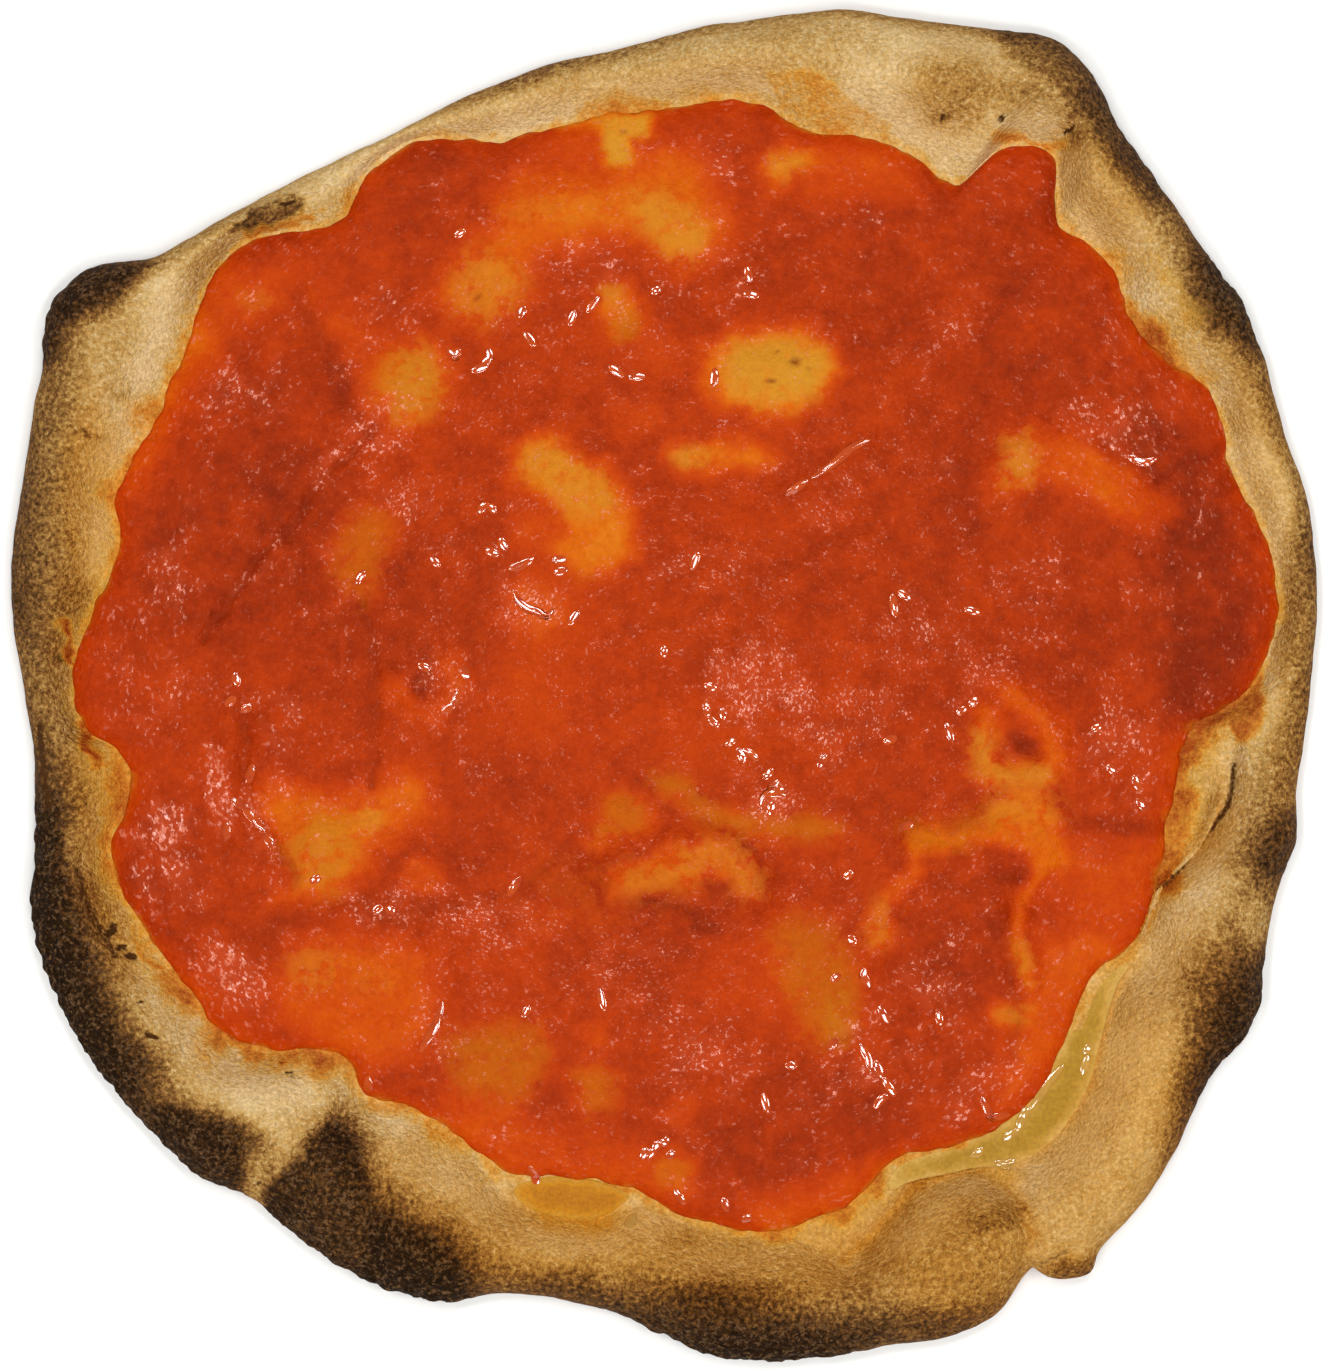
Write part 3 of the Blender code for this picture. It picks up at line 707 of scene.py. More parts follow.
@dataclass(frozen=True)
class CookedTomatoSauce:
    """Crushed tomato cooked in olive oil: wet and pulpy, deep red where thick, orange where the dough shows through."""

    pulp_mm: float = 1.5  # lumps of pulp
    fibre_mm: float = 0.7  # fine grain in the pulp
    drift_mm: float = 13.0  # slow change from deep red to orange-red
    clot_mm: float = 4.0  # clots of pulp
    film_mm: float = 6.0  # breaks in the wet film
    ripple_mm: float = 1.5  # humps of the wet film over the pulp
    fleck_mm: float = 0.95  # drops of oil beaten into the pulp
    ladle_mm: float = 80.0  # beyond this radius the flecks are drawn out along the ladle's turns
    thinning: Stops = (
        (0.00, "#7C1D04"), (0.13, "#982803"), (0.26, "#AD3203"), (0.40, "#B83A02"), (0.58, "#C34A02"),
        (0.78, "#CC6004"), (1.00, "#D07C1A"),
    )
    juicy: str = "#B05E04"
    bald: str = "#C48622"
    # dark red painted into creases and pits as their shade
    deep: str = "#6A1A06"
    # pale pink of the oily film: a painted sheen
    painted_sheen: str = "#C24A28"
    # pale flecks: partly drops of oil, partly painted glints
    oil_drop_and_glint: str = "#D6765A"
    gloss_tint: str = "#FFB888"

    def material(self) -> bpy.types.Material:
        """Builds the material.

        Returns:
            The material.
        """
        material, add = new_material("crushed_tomato_in_oil")
        place = add("TexCoord", out="Object")
        thin, juice, bald, crease, film = (
            add("Attribute", out="Fac", attribute_name=mark.value)
            for mark in (Mark.THIN, Mark.JUICE, Mark.BALD, Mark.CREASE, Mark.FILM)
        )

        # Places wound up round the middle, so that noise laid on them runs along the ladle's turns
        flat = add("VectorMath", {0: place, 1: (1.0, 1.0, 0.0)}, operation="MULTIPLY")
        radius = add("VectorMath", {0: flat}, "Value", operation="LENGTH")
        heading = add("VectorMath", {0: flat}, operation="NORMALIZE")
        held = add("Math", {0: radius, 1: self.ladle_mm * MM}, operation="MINIMUM")
        turned = add("VectorMath", {0: heading, "Scale": held}, operation="SCALE")
        wound = add("VectorMath", {0: turned, 1: add("CombineXYZ", {"Z": radius})}, operation="ADD")

        pulp, fibre, drift, clots, breaks, fleck = (
            add("Math", {0: add("TexNoise", {
                "Vector": where, "Scale": 1 / (size * MM), "Detail": detail, "Roughness": 0.58}), 1: 0.5},
                operation="SUBTRACT")
            for where, size, detail in (
                (place, self.pulp_mm, 3.0), (place, self.fibre_mm, 2.0), (place, self.drift_mm, 3.0),
                (place, self.clot_mm, 3.0), (wound, self.film_mm, 3.0), (wound, self.fleck_mm, 2.0))
        )

        # Thinness, broken up by drift, clots and pulp
        for uneven, share in ((drift, 0.36), (clots, 0.3), (pulp, 0.08)):
            thin = add("Math", {0: uneven, 1: share, 2: thin}, operation="MULTIPLY_ADD")
        tone = add("ValToRGB", {"Fac": thin}, stops=self.thinning)
        # the crease mark paints shade in the sauce's deep red
        for cover, share, code in ((juice, 1.6, self.juicy), (bald, 2.0, self.bald), (crease, 0.0, self.deep)):
            ragged = add("Math", {0: clots, 1: share, 2: cover}, operation="MULTIPLY_ADD", use_clamp=True)
            shown = add("Math", {0: ragged, 1: cover}, operation="MINIMUM") if share else cover
            tone = add("Mix", {"Factor": shown, 6: tone, 7: srgb(code)}, 2, data_type="RGBA")

        # The oily film gets a painted pink sheen, and pale flecks: partly oil drops, partly painted glints
        wet = add("Math", {0: breaks, 1: 2.0, 2: film}, operation="MULTIPLY_ADD")
        painted_sheen_share = add("MapRange", {"Value": wet, "From Min": 0.25, "To Max": 0.24})
        tone = add("Mix", {"Factor": painted_sheen_share, 6: tone, 7: srgb(self.painted_sheen)}, 2, data_type="RGBA")
        crowded = add("MapRange", {"Value": wet, "From Min": 0.45, "From Max": 1.1, "To Max": 0.09})
        drops = add("MapRange", {"Value": add("Math", {0: fleck, 1: crowded}), "From Min": 0.08, "From Max": 0.2})
        share = add("MapRange", {"Value": wet, "From Min": 0.05, "From Max": 0.65, "To Min": 0.08, "To Max": 0.8})
        flecks_and_glints = add("Math", {0: drops, 1: share}, operation="MULTIPLY")
        tone = add("Mix", {"Factor": flecks_and_glints, 6: tone, 7: srgb(self.oil_drop_and_glint)}, 2, data_type="RGBA")
        speck = add("MapRange", {"Value": pulp, "From Min": -0.2, "From Max": 0.2, "To Min": 0.93, "To Max": 1.05})
        tone = add("VectorMath", {0: tone, "Scale": speck}, operation="SCALE")

        # Under the film the pulp's lumps are smoothed over, and the drops shine one by one; elsewhere they are dull
        slick = add("MapRange", {"Value": wet, "From Min": 0.2, "From Max": 0.8})
        roughness = add("MapRange", {"Value": slick, "To Min": 0.55, "To Max": 0.42})
        pool = add("MapRange", {"Value": wet, "From Min": 0.15, "From Max": 0.6, "To Max": 0.6})
        pooled = add("Math", {0: drops, 1: pool}, operation="MULTIPLY")
        ripple = add("TexNoise", {"Vector": wound, "Scale": 1 / (self.ripple_mm * MM), "Detail": 0.5, "Roughness": 0.5})
        dull = add("Math", {0: fibre, 1: 0.3, 2: pulp}, operation="MULTIPLY_ADD")
        film_height = add("Math", {0: ripple, 1: 0.5}, operation="MULTIPLY")
        height = add("Mix", {0: slick, 2: dull, 3: film_height})
        relief = add("Bump", {"Height": height, "Distance": 0.5 * MM})
        shader = add("BsdfPrincipled", {
            "Base Color": tone, "Roughness": roughness, "IOR": 1.36, "Specular IOR Level": 0.3,
            "Specular Tint": srgb(self.gloss_tint), "Normal": relief,
            "Coat Weight": pooled, "Coat Roughness": 0.14, "Coat IOR": 1.47, "Coat Normal": relief})
        add("OutputMaterial", {"Surface": shader})
        return material


@dataclass(frozen=True)
class ClearLiquid:
    """Beads of juice or oil: smooth and wet, so that each one carries a small sharp highlight."""

    name: str
    pale: str
    deep: str
    drift_mm: float = 3.0

    def material(self) -> bpy.types.Material:
        """Builds the material.

        Returns:
            The material.
        """
        material, add = new_material(self.name)
        place = add("TexCoord", out="Object")
        drift = add("TexNoise", {"Vector": place, "Scale": 1 / (self.drift_mm * MM), "Detail": 2.0})
        tone = add("ValToRGB", {"Fac": drift}, stops=((0.3, self.deep), (0.7, self.pale)))
        shader = add("BsdfPrincipled", {
            "Base Color": tone, "Roughness": 0.06, "IOR": 1.47, "Coat Weight": 0.6, "Coat Roughness": 0.03,
            "Coat IOR": 1.5})
        add("OutputMaterial", {"Surface": shader})
        return material


@dataclass(frozen=True)
class OliveOil:
    """Olive oil soaking into dough: a thin yellow film through which the dough's grain shows, with a soft gloss."""

    name: str
    shallow: str
    middling: str
    deep: str
    drift_mm: float = 5.0
    grain_mm: float = 0.9  # the dough's grain, seen through the oil

    def material(self) -> bpy.types.Material:
        """Builds the material.

        Returns:
            The material.
        """
        material, add = new_material(self.name)
        place = add("TexCoord", out="Object")
        depth = add("Attribute", out="Fac", attribute_name=Mark.DEPTH.value)
        drift, grains = (
            add("TexNoise", {"Vector": place, "Scale": 1 / (size * MM), "Detail": 3.0, "Roughness": 0.6})
            for size in (self.drift_mm, self.grain_mm)
        )
        level = add("Math", {0: depth, 1: 0.6}, operation="MULTIPLY")
        clear = add("Math", {0: drift, 1: 0.8, 2: level}, operation="MULTIPLY_ADD")
        colour = add("ValToRGB", {"Fac": clear}, stops=(
            (0.42, self.shallow), (0.70, self.middling), (0.95, self.deep)))
        speck = add("MapRange", {"Value": grains, "From Min": 0.3, "From Max": 0.7, "To Min": 0.84, "To Max": 1.14})
        tone = add("VectorMath", {0: colour, "Scale": speck}, operation="SCALE")
        relief = add("Bump", {"Height": grains, "Strength": 0.6, "Distance": 0.4 * MM})
        shader = add("BsdfPrincipled", {
            "Base Color": tone, "Roughness": 0.5, "IOR": 1.4, "Specular IOR Level": 0.15, "Normal": relief})
        add("OutputMaterial", {"Surface": shader})
        return material


@dataclass(frozen=True)
class PalePaint:
    """Matte off-white paint of the studio floor."""

    colour: str = "#F8F7F4"

    def material(self) -> bpy.types.Material:
        """Builds the material.

        Returns:
            The material.
        """
        material, add = new_material("matte_white_paint")
        shader = add("BsdfPrincipled", {"Base Color": srgb(self.colour), "Roughness": 0.9})
        add("OutputMaterial", {"Surface": shader})
        return material


# ---------- Crust ----------

EDGE_BROWNING_WIDTH = Ring((  # bearing, and how far the browning reaches in from the outline
    (0, 9), (6, 12), (12, 9), (18, 4), (24, 8), (30, 13), (36, 14), (42, 8), (48, 11), (54, 11), (60, 6), (66, 5),
    (72, 4), (84, 4), (96, 4), (102, 5), (108, 4), (120, 4), (132, 4), (138, 4), (144, 11), (150, 14), (156, 19),
    (162, 20), (168, 21), (174, 20), (180, 16), (186, 16), (192, 18), (198, 21), (204, 23), (210, 20), (216, 19),
    (222, 17), (228, 18), (234, 12), (240, 14), (246, 12), (252, 14), (258, 10), (264, 10), (270, 15), (276, 21),
    (282, 18), (288, 19), (294, 10), (300, 8), (306, 6), (312, 4), (318, 6), (324, 13), (330, 16), (336, 11), (342, 14),
    (348, 13), (354, 8),
))
EDGE_BROWNING = Ring((  # bearing, and how dark the outline is
    (0, 0.42), (6, 0.32), (12, 0.46), (18, 0.26), (24, 0.32), (30, 0.34), (36, 0.42), (42, 0.26), (48, 0.38),
    (54, 0.32), (60, 0.3), (66, 0.26), (72, 0.2), (84, 0.18), (96, 0.22), (102, 0.34), (108, 0.2), (120, 0.1),
    (132, 0.14), (138, 0.12), (144, 0.38), (150, 0.36), (156, 0.32), (162, 0.44), (168, 0.5), (174, 0.55), (180, 0.36),
    (186, 0.5), (192, 0.76), (198, 0.88), (204, 0.86), (210, 0.82), (216, 0.7), (222, 0.64), (228, 0.48), (234, 0.34),
    (240, 0.3), (246, 0.6), (252, 0.42), (258, 0.22), (264, 0.4), (270, 0.66), (276, 0.84), (282, 0.82), (288, 0.4),
    (294, 0.36), (300, 0.12), (306, 0.12), (312, 0.08), (318, 0.28), (324, 0.5), (330, 0.56), (336, 0.22), (342, 0.24),
    (348, 0.1), (354, 0.22),
))
SCORCHES = (  # browned and charred places
    Patch(((-150, 90), (-145, 95.5), (-139, 101), (-126, 102), (-123, 101), (-127, 94.5), (-133, 89), (-139, 86.5),
        (-143, 84), (-146, 78), (-152, 76)), 4.0, 0.68),
    Patch(((-103, 109), (-101, 112), (-97, 114.5), (-93, 116), (-89, 117), (-86.5, 115.5), (-87, 113), (-91, 111.5),
        (-95, 110), (-99, 109)), 0.9, 0.62),
    Patch(((-154, -28), (-147.5, -31), (-145, -42), (-141, -52), (-137, -62), (-133, -72), (-128, -82), (-120, -90),
        (-130, -104), (-143, -88), (-151, -72), (-156, -52)), 5.0, 0.44),
    Patch(((-122, -100), (-112, -102), (-104, -104), (-100, -110), (-98.5, -119), (-104, -124), (-112, -122),
        (-124, -112)), 2.6, 0.56),
    Patch(((-98, -126), (-89, -114), (-84, -107), (-80, -104), (-75.5, -105), (-72, -111), (-69.5, -119), (-68, -127),
        (-67, -136), (-67, -152), (-80, -148), (-92, -136)), 2.3, 0.62),
    Patch(((-97, -122), (-92, -112), (-85, -103), (-79, -100), (-72, -102), (-66, -112), (-62, -124), (-66, -134)),
        4.5, 0.18),
    Patch(((-69, -127), (-64, -126), (-58, -128), (-52, -132.5), (-48, -139), (-47, -150), (-60, -151), (-72, -147)),
        2.8, 0.68),
    Patch(((-68, -118), (-60, -121), (-52, -126), (-45, -134), (-42, -146), (-50, -151), (-68, -150)), 5.0, 0.38),
    Oval(-105, -106, 10, 4.5, -22, 0.45, 0.6), Oval(2, -144, 14, 5, -14, 0.3, 0.7),
    Patch(((-38, -147), (-30, -140), (-18, -140), (-10, -146), (-2, -152), (-3, -158), (-18, -152), (-34, -150)),
        4.0, 0.3),
    Patch(((-2, -152), (4, -142), (11, -138), (18, -139), (24, -143), (30, -146), (38, -149), (45, -150), (52, -153),
        (50, -162), (30, -165), (8, -163)), 5.0, 0.26),
    Patch(((46, -141), (56, -125), (63, -119), (72, -120), (80, -120), (86, -127), (87, -134), (84, -143), (78, -150),
        (60, -156), (46, -155)), 4.5, 0.14),
    # painted shadow along the top of the large bubble at the lower right
    Stroke(((54, -131), (60, -121), (67, -118), (76, -118), (82, -121), (84.5, -125)), 1.7, 0.19),
    Oval(76, -125.5, 6, 4, -10, 0.26, 0.7), Oval(130, -72, 6, 10, -20, 0.24, 0.7), Oval(-74, -111, 4, 8, 20, 0.2, 0.7),
    Oval(62, -153, 20, 5, 8, 0.25, 0.7), Oval(-36, -138, 18, 8, -8, 0.16, 0.7),
    Patch(((153, -32), (146, -31), (141, -36), (138.5, -43), (143, -47), (151, -46), (155, -38)), 4.4, 0.45),
    Patch(((156, -8), (146, -8), (140, -20), (137, -34), (136, -46), (130, -58), (138, -64), (150, -50), (156, -30)),
        6.0, 0.2),
    Patch(((146, -62), (138, -66), (133, -72), (131, -80), (130, -88), (126, -98), (132, -100), (142, -88),
        (147, -76)), 4.4, 0.45),
    Patch(((142, -52), (130, -62), (125, -70), (123.5, -82), (121, -95), (117.5, -108), (121, -114), (131, -101),
        (141, -88), (148, -60)), 5.5, 0.2),
    Patch(((78, 160), (82, 151.5), (88, 148), (95, 143.5), (99, 138), (102, 132), (105, 126), (111, 121.5), (118, 114),
        (124, 117), (113, 136), (105, 150), (93, 160)), 4.0, 0.36),
    Patch(((116, 116), (121, 109), (126, 101), (133, 106), (126, 116), (120, 122)), 4.0, 0.25),
    Patch(((126.5, 101), (131, 107), (139, 100), (143, 89), (145, 79), (138, 80), (131, 84), (126, 92)), 4.4, 0.54),
    Oval(92, 138, 11, 6, -12, 0.26, 0.7), Stroke(((104, 130), (113, 118), (121, 104), (128, 88)), 3.2, 0.12),
    Stroke(((84, 149), (92, 146), (97.5, 140), (98, 131)), 2.6, 0.26), Oval(74, 136, 6, 6, 0, 0.12, 0.7),
    # the stroke is painted shade beside the crease of the rim's fold
    Stroke(((133, -27), (128, -38)), 2.0, 0.12), Oval(68.5, 144, 10, 6.5, 0, 0.13, 0.7),
    Oval(35, 153, 14, 5, 0, 0.1, 0.7), Oval(-137, 59.5, 3.0, 1.0, -8, 0.3, 0.6),
    Oval(-128, 69, 2.6, 1.6, 20, 0.35, 0.6), Oval(-144, 6, 1.6, 1.2, 0, 0.5, 0.6),
    # the stroke is painted shadow on the dough beside the sauce's left edge
    Stroke(((-142, 5), (-140, -11)), 1.6, 0.14), Oval(-139, 26, 6, 12, 0, 0.12, 0.7),
    Oval(98, -140, 6, 3, 0, 0.32, 0.6), Oval(66, 135, 3.0, 1.8, 0, 0.2, 0.6), Oval(20, -141, 22, 6, -8, 0.16, 0.7),
    Oval(-126, 90, 34, 14, 45, 0.1, 0.7), Oval(-12, 148, 50, 9, 8, 0.07, 0.7),
)
PALE_DOUGH_AND_PAINTED_LIGHT = (  # floury skin, and painted light that pales shaded inner slopes
    Stroke(((-62, 128), (-44, 131), (-24, 136), (-4, 142), (10, 144), (26, 144)), 4.5, 0.6),
    Stroke(((44, 137), (58, 133), (70, 128), (80, 132), (92, 134)), 5.0, 0.7), Oval(100.5, 106, 12, 5.5, 118, 0.6, 0.5),
    Stroke(((-119, 95), (-122, 82), (-127, 66), (-134, 42), (-136, 28)), 4.5, 0.85),
    Stroke(((112, -86), (107, -99), (99, -111)), 6.0, 0.8), Oval(72, -122, 16, 5, 8, 0.6, 0.6),
    Oval(58, -131, 7, 6, 0, 0.6, 0.6), Oval(-94, -98, 12, 3.5, -6, 0.35, 0.6), Oval(100, 134, 2, 2, 0, 0.3, 0.6),
    Oval(-24, -132, 12, 5, 0, 0.7, 0.6), Oval(12, -139, 14, 4, 0, 0.6, 0.6), Oval(141, -56, 4, 6, 0, 0.5, 0.6),
    Oval(-98, -119, 2.5, 5, 0, 0.5, 0.6), Oval(-138, -38, 5, 7, 0, 0.4, 0.6), Oval(-75, 124, 24, 4, 26, 0.5, 0.6),
    Oval(40, 153, 24, 5, 0, 0.4, 0.7), Oval(72, 150, 18, 4, -12, 0.4, 0.7),
)
GOLD_DOUGH = (  # dough with a golden cast
    Oval(-136, 42, 8, 26, 0, 0.9), Oval(-139, 12, 8, 18, 0, 0.7), Oval(-136, -20, 7, 14, 0, 0.8),
    Oval(-132, -50, 6, 22, 16, 0.8), Oval(110, -112, 20, 26, -40, 0.75), Oval(106, -94, 9, 20, -30, 0.8),
    Oval(120, -80, 16, 26, -20, 0.5), Oval(104, 117, 10, 16, 30, 0.6), Oval(128, 84, 12, 8, -50, 0.3),
    Oval(143, 56, 6, 22, 12, 0.5), Oval(-30, -132, 30, 12, 0, 0.85), Oval(20, -138, 34, 12, 0, 0.85),
    Oval(50, -130, 20, 12, 20, 0.85), Oval(72, -136, 20, 18, 0, 0.9), Oval(70, 140, 14, 12, 0, 0.4),
    Oval(-58, -118, 14, 12, 0, 0.6), Oval(128, -24, 8, 20, 10, 0.7), Oval(8, 144, 34, 5, 6, 0.4),
    Oval(-42, 138, 24, 5, 20, 0.2), Oval(98, -138, 8, 6, 0, 0.7), Oval(150, -10, 6, 40, 0, 0.4),
)
STAIN_REACH = Ring((  # bearing, and how far the sauce's juice has soaked into the dough beyond its edge
    (0, 3), (3, 1), (10, 0.8), (20, 0.8), (27, 2), (32, 6), (36, 7), (40, 4), (44, 3), (47, 2), (52, 1), (57, 1.5),
    (62, 1.5), (67, 1), (72, 3), (76, 4), (80, 2), (86, 2.5), (92, 4), (98, 3), (103, 1.5), (112, 0.8), (120, 1),
    (124, 2.5), (128, 1.5), (135, 1), (141, 2), (147, 3.5), (153, 5), (158, 5.5), (165, 4), (175, 2), (184, 2),
    (187, 6), (190, 8), (194, 5), (200, 3), (206, 3), (210, 6), (214, 6), (218, 6.5), (222, 7), (226, 6), (230, 7),
    (234, 3), (240, 5), (244, 5), (250, 2.5), (256, 2), (262, 3), (268, 2), (275, 2), (282, 4), (288, 4), (292, 4),
    (297, 4.5), (302, 3.5), (310, 1.5), (320, 1.5), (328, 1.2), (334, 2), (340, 7), (345, 8), (350, 8.5), (354, 9),
    (357, 6),
))
GOLDEN_STAINS = (  # juice that has soaked further into the dough
    Patch(((25, 148), (28, 148.5), (33, 146.5), (40, 144), (45, 141), (50, 136.5), (58, 131.5), (62, 126), (50, 131),
        (38, 133), (27, 138)), 1.5, 0.55),
    Patch(((-31.5, -118), (-24, -121), (-11, -121), (-11, -127), (-12.5, -131), (-21, -129.5), (-30, -129.5)),
        1.2, 0.5),
    Oval(37, 144, 5.5, 2.2, -30, 0.25, 0.6), Stroke(((-99, 108.5), (-92, 109.5), (-85, 112)), 1.8, 0.8),
    Stroke(((79, 130.5), (86, 130.5), (92, 128.5), (96, 130)), 1.8, 0.8),
    Stroke(((115, 103), (121, 95), (126, 88)), 3.0, 0.4),
    Patch(((125, -6), (132, -3), (138, 1), (143, 5), (144.5, -1), (143.5, -9), (140, -15), (136, -14), (134.5, -10),
        (130, -11), (126, -12)), 2.2, 0.9),
    Patch(((124, -26), (127.5, -31), (126.5, -37), (123, -43), (119, -49), (116, -50), (118, -38), (121, -28)),
        2.4, 0.8),
    # painted shadow beside the sauce's left edge, in the juice's dark red-brown
    Stroke(((-143, 14), (-141.5, 2), (-139.8, -9), (-136.5, -18)), 2.0, 1.0),
    Stroke(((-128, -58), (-123.5, -66), (-118, -75)), 1.6, 0.8),
)
OILED_DOUGH = (  # dough that oil has soaked into
    Patch(((122, -45), (119, -54), (115, -64), (110, -74), (106, -84), (104, -91), (101.5, -97), (97.5, -104),
        (91.5, -111), (86, -116.5), (80, -119), (73, -117.5), (66, -119), (60, -122), (58, -119), (64, -113),
        (70, -109), (80, -105), (88, -97), (96, -83), (102, -70), (112, -61), (117, -50)), 2.6, 0.8),
    Stroke(((104, -82), (101.5, -94), (97.5, -103), (91, -110), (86, -114)), 2.4, 0.6),
    Stroke(((62, -119.5), (68, -116.5), (76, -116.5), (83, -118.5)), 2.6, 0.9),
    Stroke(((61, -120), (55, -127), (50, -133), (44, -139)), 1.5, 0.8),
    Stroke(((88, -131), (85, -123), (81, -118)), 1.6, 0.6), Oval(-21, -126, 13, 6, -4, 0.9, 0.35),
    Oval(4, -130, 18, 7, -8, 0.3, 0.6), Oval(42, -131, 12, 7, 10, 0.3, 0.6), Oval(127, -42, 14, 3.5, 50, 0.6, 0.6),
    Oval(-134, -20, 4, 9, 0, 0.4, 0.6),
)
DOUGH_CREASES = (  # painted shade: dark lines in the rim's fold, the torn seams and the valleys round the bubbles
    Stroke(((136.7, -19), (136.4, -25), (135.4, -29.3), (132.5, -33.8), (128.6, -39), (124, -45), (119, -49.7)),
        0.75, 0.85),
    Stroke(((119, -49), (115, -57), (113, -62)), 1.6, 0.2),
    Stroke(((-149.3, -10), (-148.6, -19), (-147, -29)), 1.2, 0.9),
    Stroke(((-140, -44), (-138, -52), (-134.5, -59), (-131, -65)), 1.0, 0.8),
    Stroke(((62, -120), (56, -126.5), (52, -132)), 1.2, 0.3),
    Stroke(((90, -138.3), (93, -136.6), (95.8, -135)), 0.7, 0.6),
    Stroke(((64, -118), (70, -116.5), (79, -117)), 1.6, 0.25), Stroke(((131, -53), (130, -59)), 0.8, 0.25),
    Stroke(((-93, -90), (-90, -93), (-87, -94.5)), 0.6, 0.6), Stroke(((-69, -106), (-70, -118)), 1.0, 0.3),
    Stroke(((-62, -112), (-66, -122)), 1.4, 0.25),
)
DOUGH_PITS = (  # burst blisters, slits and pinholes; amount is the depth, which is also painted as shade
    Oval(66.3, 134.8, 1.5, 1.0, 60, -1.0), Oval(80.3, 134.5, 2.0, 0.8, 95, -1.4), Oval(96.8, 132.8, 2.2, 0.7, 25, -1.5),
    Oval(-111.5, 99.3, 0.9, 0.7, 0, -0.7), Oval(116.3, -73.6, 0.7, 0.7, 0, -0.8), Oval(-144, 6, 1.2, 1.0, 0, -0.6),
    Oval(-90, -93, 2.4, 0.7, -30, -0.9), Oval(-132.3, -58.5, 3.0, 1.4, 70, -1.8), Oval(-130, -63, 1.8, 1.1, 30, -1.6),
    Oval(-127.5, -65, 1.9, 1.2, -30, -1.6), Oval(-125, -76, 1.4, 0.8, 0, -1.0), Oval(-122, -83.5, 2.8, 0.9, -25, -1.3),
    Oval(-100, 111, 3.0, 0.7, 40, -0.9), Oval(-90.5, 115, 3.4, 0.9, 10, -1.0), Oval(62, 136.6, 1.0, 0.6, 0, -0.6),
    Oval(91, -124.5, 0.7, 0.6, 0, -0.6), Oval(119, -109, 0.8, 0.6, 0, -0.5), Oval(-97, -119, 1.6, 0.8, 60, -0.9),
)


class Stretch(IntEnum):
    """The crust's stretches of rings, from the sauce's edge outwards and down to the table."""

    SHELF = 0
    INNER = 1
    OUTER = 2
    UNDER = 3


